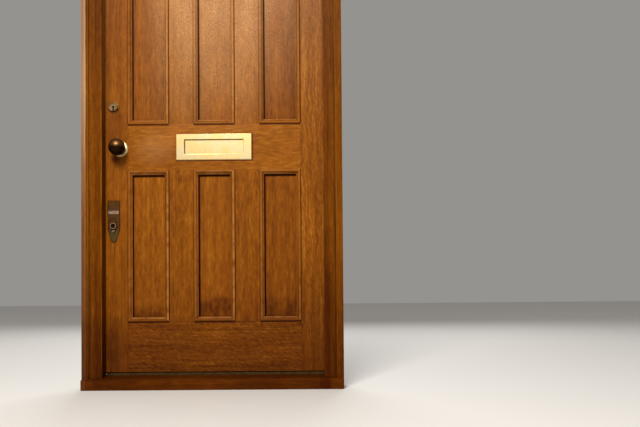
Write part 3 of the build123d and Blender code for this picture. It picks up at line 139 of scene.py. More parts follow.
class Wire:
    """An output in a material's node tree. Sums on wires become Math nodes."""

    def __init__(self, socket):
        self.socket = socket

    @staticmethod
    def node(tree, kind, sockets=None, out=0, stops=None, **settings):
        """Adds one node: its settings and ramp stops first, then the values or links of its sockets."""
        made = add_node(tree, kind, **settings)
        if stops:
            elements = made.color_ramp.elements
            while len(elements) < len(stops):
                elements.new(1.0)
            for element, (position, colour) in zip(elements, stops):
                element.position = position
                element.color = opaque(colour)
        for key, value in (sockets or {}).items():
            if isinstance(value, Wire):
                tree.links.new(value.socket, made.inputs[key])
            else:
                made.inputs[key].default_value = value
        return Wire(made.outputs[out]) if made.outputs else None

    def make(self, kind, sockets=None, out=0, **settings):
        """Adds one node to this wire's tree."""
        return Wire.node(self.socket.id_data, kind, sockets, out, **settings)

    def math(self, operation, first, second=0.0):
        return self.make("ShaderNodeMath", {0: first, 1: second}, operation=operation)

    def __add__(self, other):
        return self.math("ADD", self, other)

    def __sub__(self, other):
        return self.math("SUBTRACT", self, other)

    def __mul__(self, other):
        return self.math("MULTIPLY", self, other)

    def __radd__(self, other):
        return self.math("ADD", other, self)

    def __rsub__(self, other):
        return self.math("SUBTRACT", other, self)

    def __rmul__(self, other):
        return self.math("MULTIPLY", other, self)

    def take(self, operation, second=0.0):
        """One operation of the Math node on this value."""
        return self.math(operation, self, second)

    def step(self, low, high):
        """A smooth step from 0 at low to 1 at high."""
        return self.make(
            "ShaderNodeMapRange", {"Value": self, "From Min": low, "From Max": high},
            interpolation_type="SMOOTHSTEP",
        )

    def near(self, middle, reach, soft):
        """1 within a reach of a middle, falling to 0 over a soft edge."""
        return (self - middle).take("ABSOLUTE").step(reach + soft, reach)

    def axis(self, letter):
        """One part of this place, in its own measure."""
        return self.make("ShaderNodeSeparateXYZ", {0: self}, out=letter)

    def at(self, letter):
        """Where this place lies along an axis, in millimetres."""
        return self.axis(letter) * (1 / MM)

    def cloud(self, scales, detail=2.0, roughness=0.5):
        """Noise from 0 to 1 at this place, with its own scale along each axis."""
        place = self.make("ShaderNodeVectorMath", {0: self, 1: scales}, operation="MULTIPLY")
        return self.make(
            "ShaderNodeTexNoise", {"Vector": place, "Scale": 1.0, "Detail": detail, "Roughness": roughness},
        )

    def blend(self, factor, first, second, kind="MIX"):
        """A colour between two others, in this wire's tree."""
        return self.make(
            "ShaderNodeMix", {0: factor, 6: opaque(first), 7: opaque(second)}, out=2, data_type="RGBA",
            blend_type=kind,
        )

    def over(self, factor, colour):
        """This colour, covered by another as far as a factor says."""
        return self.blend(factor, self, colour)

    def dim(self, factor, amount, tint=SHADOW_TINT):
        """This colour, darkened by a factor towards a tint of itself."""
        return self.blend(factor * amount, self, tint, "MULTIPLY")

    def bump(self, strength, depth):
        """The normal of a surface that rises by this depth where this value is 1."""
        return self.make(
            "ShaderNodeBump", {"Height": self, "Strength": strength, "Distance": depth * MM}, out="Normal",
        )


def opaque(colour):
    """The three numbers of a colour with its alpha, or a wire as it is."""
    return colour if isinstance(colour, Wire) else (*colour, 1.0)


def start_finish(name):
    """A material with an empty node tree, and the place of each point on the object."""
    finish = bpy.data.materials.new(name)
    finish.use_nodes = True
    finish.node_tree.nodes.clear()
    return finish, Wire.node(finish.node_tree, "ShaderNodeTexCoord", out="Object")


def end_finish(finish, sockets):
    """Joins a Principled shader with these sockets to the material's output."""
    shader = Wire.node(finish.node_tree, "ShaderNodeBsdfPrincipled", sockets, out="BSDF")
    Wire.node(finish.node_tree, "ShaderNodeOutputMaterial", {"Surface": shader})
    return finish


# Masks from 0 to 1. Centres lie in the XZ plane.

def together(masks):
    """The sum of some masks, kept to 1."""
    return sum(masks, 0.0).take("MINIMUM", 1.0)


def repeat(distance, step):
    """A distance that starts again from 0 at every step."""
    return (distance * (1 / step)).take("FRACT") * step


def from_column(place):
    """How far to the right of the middle of its own column of panels a place is."""
    return repeat(place.at("X") + COLUMN_STEP / 2, COLUMN_STEP) - COLUMN_STEP / 2


def spot(place, centre, reach, hard=0.2, slant=0.0):
    """1 at a centre, falling to 0 at the reach along each axis."""
    up = (place.at("Z") - centre[1]) * (1 / reach[1])
    across = (place.at("X") - centre[0]) * (1 / reach[0]) - up * slant
    return (across * across + up * up).take("SQRT").step(1.0, hard)


def ring(place, centre, low, high, soft=0.6):
    """1 between two radii about a centre."""
    up, across = place.at("Z") - centre[1], place.at("X") - centre[0]
    radius = (across * across + up * up).take("SQRT")
    return radius.near((low + high) / 2, (high - low) / 2, soft)


def disc(place, centre, radius, soft=0.6):
    """1 within a radius of a centre."""
    return ring(place, centre, -radius, radius, soft)


# Oak. A tint multiplies the colour under it, and every other colour covers it.

RAMP = (0.10, 0.50, 0.70, 0.95)
LEAF_OAK = [(0.095, 0.023, 0.0006), (0.215, 0.062, 0.0022), (0.285, 0.093, 0.0052), (0.400, 0.165, 0.0200)]
PANEL_OAK = [(0.092, 0.021, 0.0006), (0.222, 0.063, 0.0024), (0.295, 0.096, 0.0056), (0.405, 0.168, 0.0210)]
FRAME_OAK = [(0.062, 0.014, 0.0004), (0.155, 0.043, 0.0012), (0.215, 0.066, 0.0024), (0.320, 0.125, 0.0150)]
# The colour of the painted sheen, a reflection painted into the wood's colour
PAINTED_SHEEN = (0.72, 0.405, 0.172)
PORE = (0.06, 0.017, 0.002)
PATCH_TINT = (0.97, 0.80, 0.62)
DIRT_AND_SHADE_TINT = (0.38, 0.24, 0.16)
LINE_TINT = (0.18, 0.08, 0.03)
BLOT_TINT = (0.30, 0.24, 0.22)
PANEL_EDGE_TINT = (0.55, 0.42, 0.30)
PANEL_SHADOW_TINT = (0.14, 0.055, 0.015)
STAIN_TINT = (0.30, 0.18, 0.13)
PAINTED_SHADE_TINT = (0.18, 0.07, 0.02)
INNER_SHADE_TINT = (0.58, 0.44, 0.36)
REVEAL_SHADE_TINT = (0.45, 0.32, 0.30)
RED_SHADE_TINT = (0.50, 0.28, 0.20)
WORN_STILE = (0.36, 0.165, 0.045)
PAINTED_HOLLOW_LIGHT = (0.40, 0.170, 0.044)
ARRIS_WEAR_AND_HIGHLIGHT = (0.30, 0.125, 0.022)
PAINTED_REVEAL_LIGHT = (0.42, 0.185, 0.050)
BEAD_LIP = (0.34, 0.145, 0.026)
BLEACHED_EDGE = (0.34, 0.185, 0.105)
BLEACHED_FACE = (0.44, 0.28, 0.15)

# Each spot's centre and reach, then its hardness and slant (a crack, two nails and a group of knots),
# or its strength (where hands take hold, and the painted shadow under the knob)
BLEMISHES = [
    ((169.1, 226.0), (1.8, 13.0), 0.5, 0.0),
    ((361.7, 1393.5), (2.2, 5.5), 0.5, 0.9), ((364.6, 1301.2), (2.2, 5.5), 0.5, 0.9),
    ((268.0, 205.0), (4.0, 7.0), 0.3, 0.8), ((283.0, 212.0), (7.0, 3.5), 0.3, 0.0),
    ((292.0, 196.0), (3.0, 6.0), 0.3, -0.8), ((320.0, 222.0), (5.0, 3.0), 0.3, 0.0),
    ((301.0, 168.0), (3.0, 4.0), 0.3, 0.0),
]
HAND_MARKS_AND_KNOB_SHADOW = [((-358.0, 925.0), (62.0, 120.0), 0.30), ((-358.0, 834.0), (26.0, 18.0), 0.8),
           ((-352.0, 990.0), (44.0, 26.0), 0.3)]


def oak(name, tones, marks, figure=0.65, bands=0.35, mottle=0.75, wander=0.02, ripple=0.0, fleck=0.0, lean=0.0,
        gloss=0.06):
    """Varnished oak. Each board's own attribute gives across, depth and along the grain, in metres."""
    finish, place = start_finish(name)
    board = place.make("ShaderNodeAttribute", out="Vector", attribute_name="board")
    tone = place.make("ShaderNodeAttribute", out="Fac", attribute_name="tone")
    across, depth, along = (board.axis(letter) for letter in "XYZ")
    bend = (board.cloud((6.0, 6.0, 1.5)) - 0.5) * wander
    if ripple:
        bend = bend + (board.cloud((30.0, 30.0, 16.0)) - 0.5) * ripple
    grain = place.make("ShaderNodeCombineXYZ", {0: across + bend, 1: depth, 2: along})
    broad = grain.cloud((38.0, 38.0, 1.2), detail=3.0, roughness=0.55)
    streak = grain.cloud((165.0, 165.0, 3.2), detail=4.0, roughness=0.6)
    fibre = grain.cloud((900.0, 900.0, 22.0), roughness=0.6)
    pore = grain.cloud((1700.0, 1700.0, 60.0), detail=1.0).step(0.60, 0.72)
    cloudy = board.cloud((95.0, 95.0, 24.0), detail=5.0, roughness=0.7)
    patch = board.cloud((9.0, 9.0, 2.4), detail=3.0)
    value = (
        0.5 + (broad - 0.5) * bands + (streak - 0.5) * figure + (fibre - 0.5) * 0.55
        + (cloudy - 0.5) * mottle + (patch - 0.5) * 0.45 + (tone - 0.5) * 0.6
    )
    if fleck:
        turned = place.make("ShaderNodeCombineXYZ", {0: across + along * lean, 1: depth, 2: along - across * lean})
        value = value + (turned.cloud((210.0, 210.0, 45.0), detail=3.0, roughness=0.6) - 0.5) * fleck
    colour = value.make("ShaderNodeValToRGB", {0: value}, stops=list(zip(RAMP, tones)))
    colour = colour.over(pore * 0.4, PORE).dim(patch.step(0.45, 0.70), 0.4, PATCH_TINT)
    height = streak * 0.25 + fibre * 0.4 - pore * 0.5
    return end_finish(finish, {
        "Base Color": marks(place, colour), "Roughness": 0.42 + (fibre - 0.5) * 0.25 + pore * 0.2,
        "Normal": height.bump(0.35, 0.25), "Specular IOR Level": gloss,
    })


def painted_sheen(place, colour):
    """A painted sheen: the varnish's pale reflection, painted over the upper middle of the leaf."""
    across, up = place.at("X"), place.at("Z")
    rise = (up + place.cloud((5.0, 5.0, 2.0)) * 120.0 - across.step(80.0, 240.0) * 120.0).step(860.0, 1540.0)
    side = across.step(-310.0, -90.0) * (1.0 - across.step(100.0, 360.0) * 0.72)
    drift = place.cloud((18.0, 18.0, 5.0), detail=4.0, roughness=0.6).step(0.25, 0.75) * 0.6 + 0.70
    speckle = place.cloud((330.0, 330.0, 120.0)).step(0.30, 0.70) * 0.9 + 0.55
    return colour.over(rise * side * drift * speckle * 0.33, PAINTED_SHEEN)


def dirt_and_shade(place, colour):
    """Dirt over the foot of the door, and painted shade at its two lower corners, high from the middle rightwards and
    high up the lock side.
    """
    across, up = place.at("X"), place.at("Z")
    low = up.step(500.0, 100.0) * (0.55 + place.cloud((7.0, 7.0, 6.0), detail=3.0) * 0.9)
    # Painted shade at the lower right and lower left corners
    right = across.step(-200.0, 200.0) * up.step(650.0, 250.0)
    left = across.step(20.0, -200.0) * up.step(270.0, 220.0)
    # Painted shade high up, over the middle and right and more on the lock side
    high = up.step(1050.0, 1350.0) * (across.step(-200.0, 120.0) * 0.22 + across.step(-300.0, -340.0) * 0.30)
    return colour.dim(low * 0.40 + right * 0.26 + left * 0.24 + high, 1.0, DIRT_AND_SHADE_TINT)


def shadow_lines(place):
    """Lines on the leaf's face, under each moulding and on both sides of it."""
    up = place.at("Z")
    gap = repeat(place.at("X") - PANEL_HALF, COLUMN_STEP)
    wider = up.step(940.0, 970.0) * 0.9
    beside = (gap - wider).step(3.6, 1.4) + gap.step(MUNTIN - 4.4, MUNTIN - 2.2) * 0.5
    under = together(up.step(low - 6.5, low - 3.5) * up.step(low + 1.0, low) for low, _ in ROWS.values())
    in_rows = together(up.near((low + high) / 2, (high - low) / 2, 0.5) for low, high in ROWS.values())
    in_columns = from_column(place).near(0.0, PANEL_HALF, 1.0)
    return together([beside * in_rows, under * in_columns]) * place.at("Y").step(6.0, 1.0)


def leaf_marks(place, colour):
    """Painted shadow lines, open joints, blemishes, a worn lock edge, the marks of hands and water, painted shadows
    round the letter plate and under the knob, and patches of painted sheen.
    """
    across, up = place.at("X"), place.at("Z")
    colour = painted_sheen(place, dirt_and_shade(place, colour)).dim(shadow_lines(place), 0.95, LINE_TINT)
    # A painted shadow on the wood round the letter plate
    plate = across.near(1.5, LETTER_PLATE[0] + 1.5, 1.6) * up.near(LETTER_Z - 1.5, LETTER_PLATE[1] + 1.5, 1.6)
    joint = across.near(STILE_EDGE, 0.4, 1.2) + across.near(-STILE_EDGE, 0.4, 0.9)
    colour = colour.dim(plate, 0.8).dim(joint * place.cloud((25.0, 25.0, 25.0)).step(0.35, 0.6), 0.5)
    colour = colour.dim(together(spot(place, *blemish) for blemish in BLEMISHES), 0.75)
    ragged = place.cloud((30.0, 30.0, 6.0), detail=3.0).step(0.40, 0.60)
    colour = colour.over(across.near(3.0 - LEAF_HALF, 1.5, 2.5) * ragged * 0.45, WORN_STILE)
    # Hand marks near the knob and the key, and the knob's painted shadow below it
    hand_marks_and_shadow = together(spot(place, centre, reach, 0.1) * strength for centre, reach, strength in HAND_MARKS_AND_KNOB_SHADOW)
    drip = spot(place, (-124.0, 757.0), (36.0, 24.0), 0.1) * place.cloud((60.0, 60.0, 30.0)).step(0.3, 0.6)
    colour = colour.dim(hand_marks_and_shadow, 1.0).dim(drip, 0.5)
    # A patch of painted sheen on the lock rail, left of the letter plate
    colour = colour.over(spot(place, (-215.0, 872.0), (100.0, 85.0), 0.1) * 0.10, PAINTED_SHEEN)
    blot = place.cloud((28.0, 28.0, 18.0), detail=4.0).step(0.3, 0.65)
    return colour.dim(spot(place, (-362.0, 140.0), (70.0, 90.0)) * blot, 0.45, BLOT_TINT)


def panel_marks(place, colour):
    """Water stains at the foot of the lower panels, and painted shadow lines inside the mouldings at the left and top.
    """
    across, up, in_column = place.at("X"), place.at("Z"), from_column(place)
    patchy = place.cloud((34.0, 34.0, 24.0), detail=5.0, roughness=0.65).step(0.34, 0.58) * 0.7 + 0.3
    rise = place.cloud((20.0, 20.0, 20.0), detail=3.0) * 30.0 - across.step(-160.0, -80.0) * 30.0
    middle = spot(place, (22.0, 292.0), (58.0, 50.0))
    stain = together([(up + rise).step(325.0, 278.0) * 0.80, middle * 0.95]) * patchy
    # Painted shadows on the panel, inside the left and top runs of the moulding
    inner = PANEL_HALF - MOULDING_WIDTH
    wider = across.step(-200.0, -100.0) * 2.2
    left = (in_column - wider).step(2.4 - inner, 0.8 - inner)
    top_shadows = [up.near(high - MOULDING_WIDTH, 4.5, 3.5) for _, high in ROWS.values()]
    edge = in_column.take("ABSOLUTE").step(46.0, 60.0)
    colour = painted_sheen(place, dirt_and_shade(place, colour.dim(edge, 0.35, PANEL_EDGE_TINT)))
    return colour.dim(together([left, *top_shadows]), 0.96, PANEL_SHADOW_TINT).dim(stain, 0.8, STAIN_TINT)


def moulding_marks(place, colour):
    """Painted light on the bead and hollow, less towards the right, and painted shade down the inner edge and along
    the outer edge.
    """
    painted_shading = place.make("ShaderNodeAttribute", out="Fac", attribute_name="painted_shading")
    ragged = place.cloud((30.0, 30.0, 30.0), detail=3.0).step(0.25, 0.6)
    # Painted light where the shading value is below 0, painted shade where it is above
    worn = painted_shading.step(0.0, -1.0) * ragged * (0.8 - place.at("X").step(180.0, 280.0) * 0.5)
    return painted_sheen(place, dirt_and_shade(place, colour)).over(worn, PAINTED_HOLLOW_LIGHT).dim(painted_shading.step(0.0, 1.0), 0.95, PAINTED_SHADE_TINT)


def frame_marks(place, colour):
    """Painted shade in the reveal and along a darker, redder inner edge, painted light high in the lock-side reveal,
    worn corners with a painted highlight, darker towards the foot of the lock side, and an outer edge bleached on the
    lock side.
    """
    across, depth, up = (place.at(letter) for letter in "XYZ")
    apart = across.take("ABSOLUTE")
    jamb = up.step(SILL_HEIGHT, SILL_HEIGHT + 15.0) * up.step(SIGHT_TOP + 2.0, SIGHT_TOP - 1.0)
    behind = depth.step(FRAME_FRONT + 3.0, FRAME_FRONT + 13.0)
    inner = apart.step(SIGHT_HALF + 30.0, SIGHT_HALF + 20.0)
    # Painted shade on the frame's face beside the leaf
    colour = colour.dim(inner * place.cloud((12.0, 12.0, 2.0), detail=3.0).step(0.2, 0.6), 0.45, INNER_SHADE_TINT)
    ragged = place.cloud((40.0, 40.0, 9.0), detail=3.0).step(0.35, 0.6)
    # Wear on the arris by the reveal, with a painted highlight
    corner = apart.near(SIGHT_HALF + 1.0, 1.0, 1.2) * depth.step(FRAME_FRONT + 2.5, FRAME_FRONT + 1.0)
    colour = colour.over(corner * jamb * ragged * 0.5, ARRIS_WEAR_AND_HIGHLIGHT)
    # Painted shade in the reveal, deeper towards the bottom
    colour = colour.dim(behind * up.step(1500.0, 400.0), 0.5, REVEAL_SHADE_TINT)
    # Painted light high in the lock-side reveal
    reveal_light = behind * across.near(-SIGHT_HALF, 1.5, 2.0) * up.step(900.0, 1400.0) * depth.step(4.0, 0.0)
    colour = colour.over(reveal_light * jamb * 0.45, PAINTED_REVEAL_LIGHT)
    lip = apart.near(FRAME_HALF - COVER_WIDTH, 1.5, 1.5) * depth.step(FRAME_FRONT + 1.5, FRAME_FRONT)
    colour = colour.over(lip * jamb * 0.5, BEAD_LIP)
    # Painted shade, darker and redder, on the hinge side beside the leaf, deeper towards the bottom
    colour = colour.dim(across.near(400.0, 14.0, 10.0) * up.step(750.0, 250.0), 0.6, RED_SHADE_TINT)
    colour = colour.dim(across.step(-300.0, -420.0) * up.step(550.0, 300.0), 0.22)
    weather = place.cloud((60.0, 60.0, 9.0), detail=4.0, roughness=0.65)
    edge = (across + (weather - 0.5) * 6.0).step(-449.0, -452.0)
    height = (up + weather * 400.0).step(750.0, 1350.0)
    bleach = edge * (0.14 + height * 0.80) * depth.step(FRAME_FRONT + 5.0, FRAME_FRONT - 3.0)
    pale = place.blend(across.step(-457.5, -455.0), BLEACHED_EDGE, BLEACHED_FACE)
    return dirt_and_shade(place, colour.over(bleach * 0.92, pale))


oak_leaf = oak("honey_oak", LEAF_OAK, leaf_marks)
oak_rail = oak("rail_oak", LEAF_OAK, leaf_marks, figure=0.2, bands=0.25, mottle=1.05, fleck=0.18)
oak_wavy = oak("wavy_oak", LEAF_OAK, leaf_marks, figure=1.4, mottle=0.55, wander=0.06, ripple=0.024, fleck=0.8,
               lean=0.30)
oak_flame = oak("flame_oak", LEAF_OAK, leaf_marks, bands=0.9, wander=0.06, fleck=1.3, lean=0.55)
oak_muntin = oak("flecked_oak", LEAF_OAK, leaf_marks, figure=0.4, bands=0.3, mottle=1.0, fleck=0.45)
oak_panel = oak("panel_oak", PANEL_OAK, panel_marks, figure=0.5, bands=0.4, mottle=0.9)
oak_moulding = oak("moulding_oak", LEAF_OAK, moulding_marks, figure=0.6, bands=0.2, mottle=0.6)
oak_frame = oak("frame_oak", FRAME_OAK, frame_marks, bands=0.4, gloss=0.03)


# Metals

WINDOW_SHADOW_AND_NICK = (0.16, 0.09, 0.012)
KNOB_LOWER_SHADE = (0.006, 0.0030, 0.002)
ROSE_SHADOW = (0.17, 0.095, 0.030)
BROWN_RIM = (0.150, 0.068, 0.018)
PALE_MIDDLE = (0.23, 0.17, 0.080)
DISC_SHADOW = (0.020, 0.006, 0.0015)
GROOVE_HIGHLIGHT = (0.50, 0.31, 0.20)
KEYHOLE_DARK = (0.02, 0.008, 0.003)
GREEN_FOOT = (0.105, 0.072, 0.024)
WORN_RING = (0.26, 0.155, 0.10)
MOUTH_SHADE = (0.035, 0.013, 0.004)
LIP_HIGHLIGHT = (0.27, 0.225, 0.13)
BAND_TARNISH = (0.085, 0.038, 0.014)


def metal(name, colour, rough, smudge=0.12, patina=None, patina_scale=60.0, patina_range=(0.45, 0.65),
          grain=(60.0, 60.0, 900.0), relief=0.06, marks=None):
    """A metal with its own polish marks, and a second colour where it has darkened."""
    finish, place = start_finish(name)
    cloudy = place.cloud((patina_scale,) * 3, detail=4.0, roughness=0.6)
    brushed = place.cloud(grain)
    if patina:
        colour = place.blend(cloudy.step(*patina_range), colour, patina)
    if marks:
        colour = marks(place, colour)
    return end_finish(finish, {
        "Base Color": colour, "Metallic": 1.0, "Normal": brushed.bump(relief, 0.2),
        "Roughness": rough + (cloudy - 0.5) * smudge * 2 + (brushed - 0.5) * 0.08,
    })


def letter_marks(place, base):
    """Painted shadow in the angles of the window at its top and left, and a nick below it."""
    half_width, half_height = LETTER_WINDOW
    across, depth, up = place.at("X"), place.at("Y"), place.at("Z") - LETTER_Z
    above = up.near(half_height - 1.2, 2.2, 0.6) * across.near(0.0, half_width, 0.5)
    left = across.near(1.2 - half_width, 2.0, 0.6) * up.near(0.0, half_height, 0.5)
    # Painted shadow inside the top and left of the window
    angle = together([above, left]) * depth.step(-6.05, -5.75) * depth.step(0.5, 0.0)
    nick = spot(place, (-30.4, 863.5), (2.6, 2.6), 0.4)
    return place.blend((angle + nick * 0.5) * 0.85, base, WINDOW_SHADOW_AND_NICK)


def knob_shade(place, base):
    """Painted shade: near black below, standing for the reflection of a dark ground."""
    return place.blend((place.at("Z") - KNOB_Z).step(11.0, -7.0) * 0.93, base, KNOB_LOWER_SHADE)


def rose_shadow(place, base):
    """Painted shadow of the knob over the lower part of the rose."""
    return place.blend((place.at("Z") - KNOB_Z).step(-7.0, -20.0) * 0.85, base, ROSE_SHADOW)


def key_marks(place, base):
    """The middle worn pale, the rim as brown as the wood, a painted shadow low round the raised disc, and a painted
    highlight in the groove at its lower left.
    """
    key = (KEY_X, UPPER_KEY_Z)
    across, up = place.at("X") - KEY_X, place.at("Z") - UPPER_KEY_Z
    # A painted highlight at the lower left of the groove
    groove_highlight = ring(place, key, 13.0, 15.5, 1.2) * across.step(-3.0, -9.0) * up.step(4.0, -2.0)
    base = place.blend(ring(place, key, 11.5, 30.0) * 0.9, base, BROWN_RIM)
    base = base.over(disc(place, key, 10.0) * 0.6, PALE_MIDDLE)
    # A painted shadow low round the raised disc
    base = base.over(ring(place, key, 15.8, 18.8, 1.2) * up.step(-1.0, -8.0) * 0.9, DISC_SHADOW)
    base = base.over(groove_highlight * 0.8, GROOVE_HIGHLIGHT)
    return base.over(disc(place, key, 7.0) * place.at("Y").step(-6.3, -5.8), KEYHOLE_DARK)


def lock_plate_marks(place, base):
    """The ring worn pale, painted shade filling its mouth, a painted highlight on the lip and the foot of the plate
    greener.
    """
    lock = (KEY_X, CYLINDER_Z)
    proud = place.at("Y").step(-5.5, -8.0)
    base = place.blend(place.at("Z").step(580.0, 560.0) * 0.7, base, GREEN_FOOT)
    base = base.over(ring(place, lock, 8.6, 12.2) * proud, WORN_RING)
    # Painted shade filling the ring's mouth
    base = base.over(disc(place, lock, 7.4, 0.4), MOUTH_SHADE)
    # A painted highlight on the lip below the ring
    return base.over(spot(place, (KEY_X, CYLINDER_Z - 19.5), (9.0, 7.0), 0.7) * proud, LIP_HIGHLIGHT)


def band_marks(place, base):
    """Tarnished along the upper edge and at the ends."""
    up = place.at("Z") + place.cloud((300.0, 300.0, 300.0)) * 1.6
    ends = 1.0 - (place.at("X") - KEY_X).near(0.0, 18.5, 1.5)
    return place.blend(together([up.step(BAND_TOP - 6.6, BAND_TOP - 4.2), ends]) * 0.9, base, BAND_TARNISH)


polished_brass = metal("polished_brass", (0.87, 0.70, 0.375), 0.30, smudge=0.08, patina=(0.83, 0.58, 0.235),
                       patina_scale=13.0, patina_range=(0.38, 0.62), marks=letter_marks)
rose_brass = metal("rose_brass", (0.90, 0.74, 0.39), 0.32, smudge=0.08, marks=rose_shadow)
dull_brass = metal("dull_brass", (0.36, 0.24, 0.10), 0.42, patina=(0.22, 0.14, 0.05))
dark_bronze = metal("dark_bronze", (0.180, 0.082, 0.028), 0.42, smudge=0.08, patina=(0.155, 0.094, 0.031),
                    patina_scale=30.0, relief=0.03, marks=knob_shade)
patinated_bronze = metal("patinated_bronze", (0.110, 0.049, 0.014), 0.45, patina=(0.068, 0.028, 0.007),
                         patina_scale=40.0, marks=lock_plate_marks)
dark_brass = metal("dark_brass", (0.125, 0.074, 0.027), 0.40, patina=(0.085, 0.045, 0.016), patina_scale=70.0,
                   marks=key_marks)
brown_bronze = metal("brown_bronze", (0.24, 0.135, 0.050), 0.42, patina=(0.15, 0.085, 0.03), patina_scale=50.0)
bare_metal = metal("bare_metal", (0.54, 0.36, 0.25), 0.38, smudge=0.2, patina=(0.19, 0.115, 0.07), patina_scale=150.0,
                   patina_range=(0.42, 0.64), grain=(900.0, 60.0, 60.0), marks=band_marks)
steel = metal("steel", (0.55, 0.55, 0.54), 0.35, patina=(0.38, 0.36, 0.33))


# Boards from the solids

def node_shape(node):
    """A copy of a solid's mesh with its doubles merged and its flat faces made whole."""
    shape = bmesh.new()
    shape.from_mesh(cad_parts[node].data)
    bmesh.ops.remove_doubles(shape, verts=shape.verts, dist=MERGE * MM)
    bmesh.ops.dissolve_limit(shape, angle_limit=math.radians(0.6), verts=shape.verts, edges=shape.edges)
    return shape


def on_faces(edge, faces):
    """True where an edge lies in one of these planes across Y."""
    depths = [vert.co.y / MM for vert in edge.verts]
    return any(all(abs(depth - face) < FACE_SLACK for depth in depths) for face in faces)


def ease(shape, width, shortest, faces=None):
    """Rounds the long outer corners: all of them, or those that lie in the given faces."""
    edges = [
        edge for edge in shape.edges
        if len(edge.link_faces) == 2 and edge.is_convex and edge.calc_face_angle() > CORNER_ANGLE
        and edge.calc_length() > shortest * MM and (faces is None or on_faces(edge, faces))
    ]
    if edges:
        bmesh.ops.bevel(shape, geom=edges, offset=width * MM, offset_type="OFFSET", segments=2, profile=0.5,
                        affect="EDGES", clamp_overlap=True)


def piece_from(shape, name, finish, smooth=None):
    """An object with this shape and finish, smooth up to an angle in degrees."""
    mesh = bpy.data.meshes.new(name)
    shape.to_mesh(mesh)
    shape.free()
    mesh.materials.append(finish)
    if smooth:
        mesh.shade_smooth()
        mesh.set_sharp_from_angle(angle=math.radians(smooth))
    return link_new(name, mesh)


def set_grain(mesh, rows, tone):
    """Stores, for each point, its place in its own board and the board's tone."""
    board = mesh.attributes.new("board", "FLOAT_VECTOR", "POINT")
    board.data.foreach_set("vector", np.asarray(rows, np.float32).ravel())
    shade = mesh.attributes.new("tone", "FLOAT", "POINT")
    shade.data.foreach_set("value", np.asarray(tone, np.float32).ravel())


def grain_offset(chance):
    """Where in the timber a board is cut, in metres, so that no two show the same grain."""
    return [chance.uniform(-40, 40) for _ in range(3)]


def mesh_points(mesh):
    """The corners of a mesh, a row for each."""
    points = np.zeros(len(mesh.vertices) * 3, np.float32)
    mesh.vertices.foreach_get("co", points)
    return points.reshape(-1, 3)


def place_piece(piece, body, slot, nodes):
    """Says what a finished piece moves with and which solids it stands for; its slot is not used."""
    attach(piece, body)
    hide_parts(*nodes)


def board(node, body, slot, finish, level, arris, faces, tone):
    """One timber member: its solid with eased arrises and its own run of grain."""
    shape = node_shape(node)
    ease(shape, arris, LONG_EDGE, faces)
    piece = piece_from(shape, f"{node}_board", finish)
    points = mesh_points(piece.data)
    grain = points[:, [2, 1, 0]] if level else points
    set_grain(piece.data, grain + grain_offset(random.Random(node)), np.full(len(points), tone))
    place_piece(piece, body, slot, [node])


# Each board's run of the grain (level or not) and its tone, from 0 dark to 1 pale
for node, finish, level, tone in (
    ("lock_stile", oak_leaf, False, 0.46), ("hinge_stile", oak_wavy, False, 0.52), ("top_rail", oak_leaf, True, 0.5),
    ("lock_rail", oak_rail, True, 0.64), ("bottom_rail", oak_flame, True, 0.47),
    ("muntin_lower_left", oak_muntin, False, 0.48), ("muntin_lower_right", oak_muntin, False, 0.46),
    ("muntin_upper_left", oak_muntin, False, 0.50), ("muntin_upper_right", oak_muntin, False, 0.50),
):
    board(node, "leaf", "oak_leaf", finish, level, LEAF_ARRIS, LEAF_FACES, tone)
for node, tone in (
    ("panel_lower_left", 0.54), ("panel_lower_middle", 0.50), ("panel_lower_right", 0.40),
    ("panel_upper_left", 0.42), ("panel_upper_middle", 0.46), ("panel_upper_right", 0.28),
):
    board(node, "leaf", "oak_panel", oak_panel, False, LEAF_ARRIS, (), tone)
for node, level, front, tone in (
    ("jamb_lock_side", False, FRAME_FRONT, 0.5), ("jamb_hinge_side", False, FRAME_FRONT, 0.38),
    ("frame_head", True, FRAME_FRONT, 0.5), ("sill", True, SILL_FRONT, 0.45),
):
    board(node, "frame", "oak_frame", oak_frame, level, FRAME_ARRIS, (front,), tone)


# Mitred lengths: the planted mouldings and the cover beads

def arc(start, middle, end):
    """Points on the circle through three points, from the first to the last."""
    (ax, ay), (bx, by), (cx, cy) = start, middle, end
    twice = 2 * (ax * (by - cy) + bx * (cy - ay) + cx * (ay - by))
    sa, sb, sc = ax * ax + ay * ay, bx * bx + by * by, cx * cx + cy * cy
    x = (sa * (by - cy) + sb * (cy - ay) + sc * (ay - by)) / twice
    y = (sa * (cx - bx) + sb * (ax - cx) + sc * (bx - ax)) / twice
    radius = math.hypot(ax - x, ay - y)
    first, mid, last = (math.atan2(py - y, px - x) for px, py in (start, middle, end))
    turn = (last - first) % (2 * math.pi)
    if (mid - first) % (2 * math.pi) > turn:
        turn -= 2 * math.pi
    angles = [first + turn * n / ARC_STEPS for n in range(ARC_STEPS + 1)]
    return [(x + radius * math.cos(angle), y + radius * math.sin(angle)) for angle in angles]


def painted_shading_at(inward, turn):
    """Painted shade on a line of the moulding as 1, and painted light below 0. Turns: 0 foot, 1 right, 2 top, 3 left.
    """
    if inward >= MOULDING_WIDTH:
        return 1.0 if turn > 1 else 0.0
    if inward >= HOLLOW_END:
        return (-0.5, 0.1, -0.8, 0.9)[turn]
    if inward == 0:
        return (0.0, 0.7, 0.0, 0.35)[turn]
    if inward <= BEAD_WIDTH:
        return (0.0, -0.75, -0.4, -0.35)[turn]
    return (-0.55, 0.1, -1.0, -0.45)[turn] if inward > QUIRK_END else 0.0


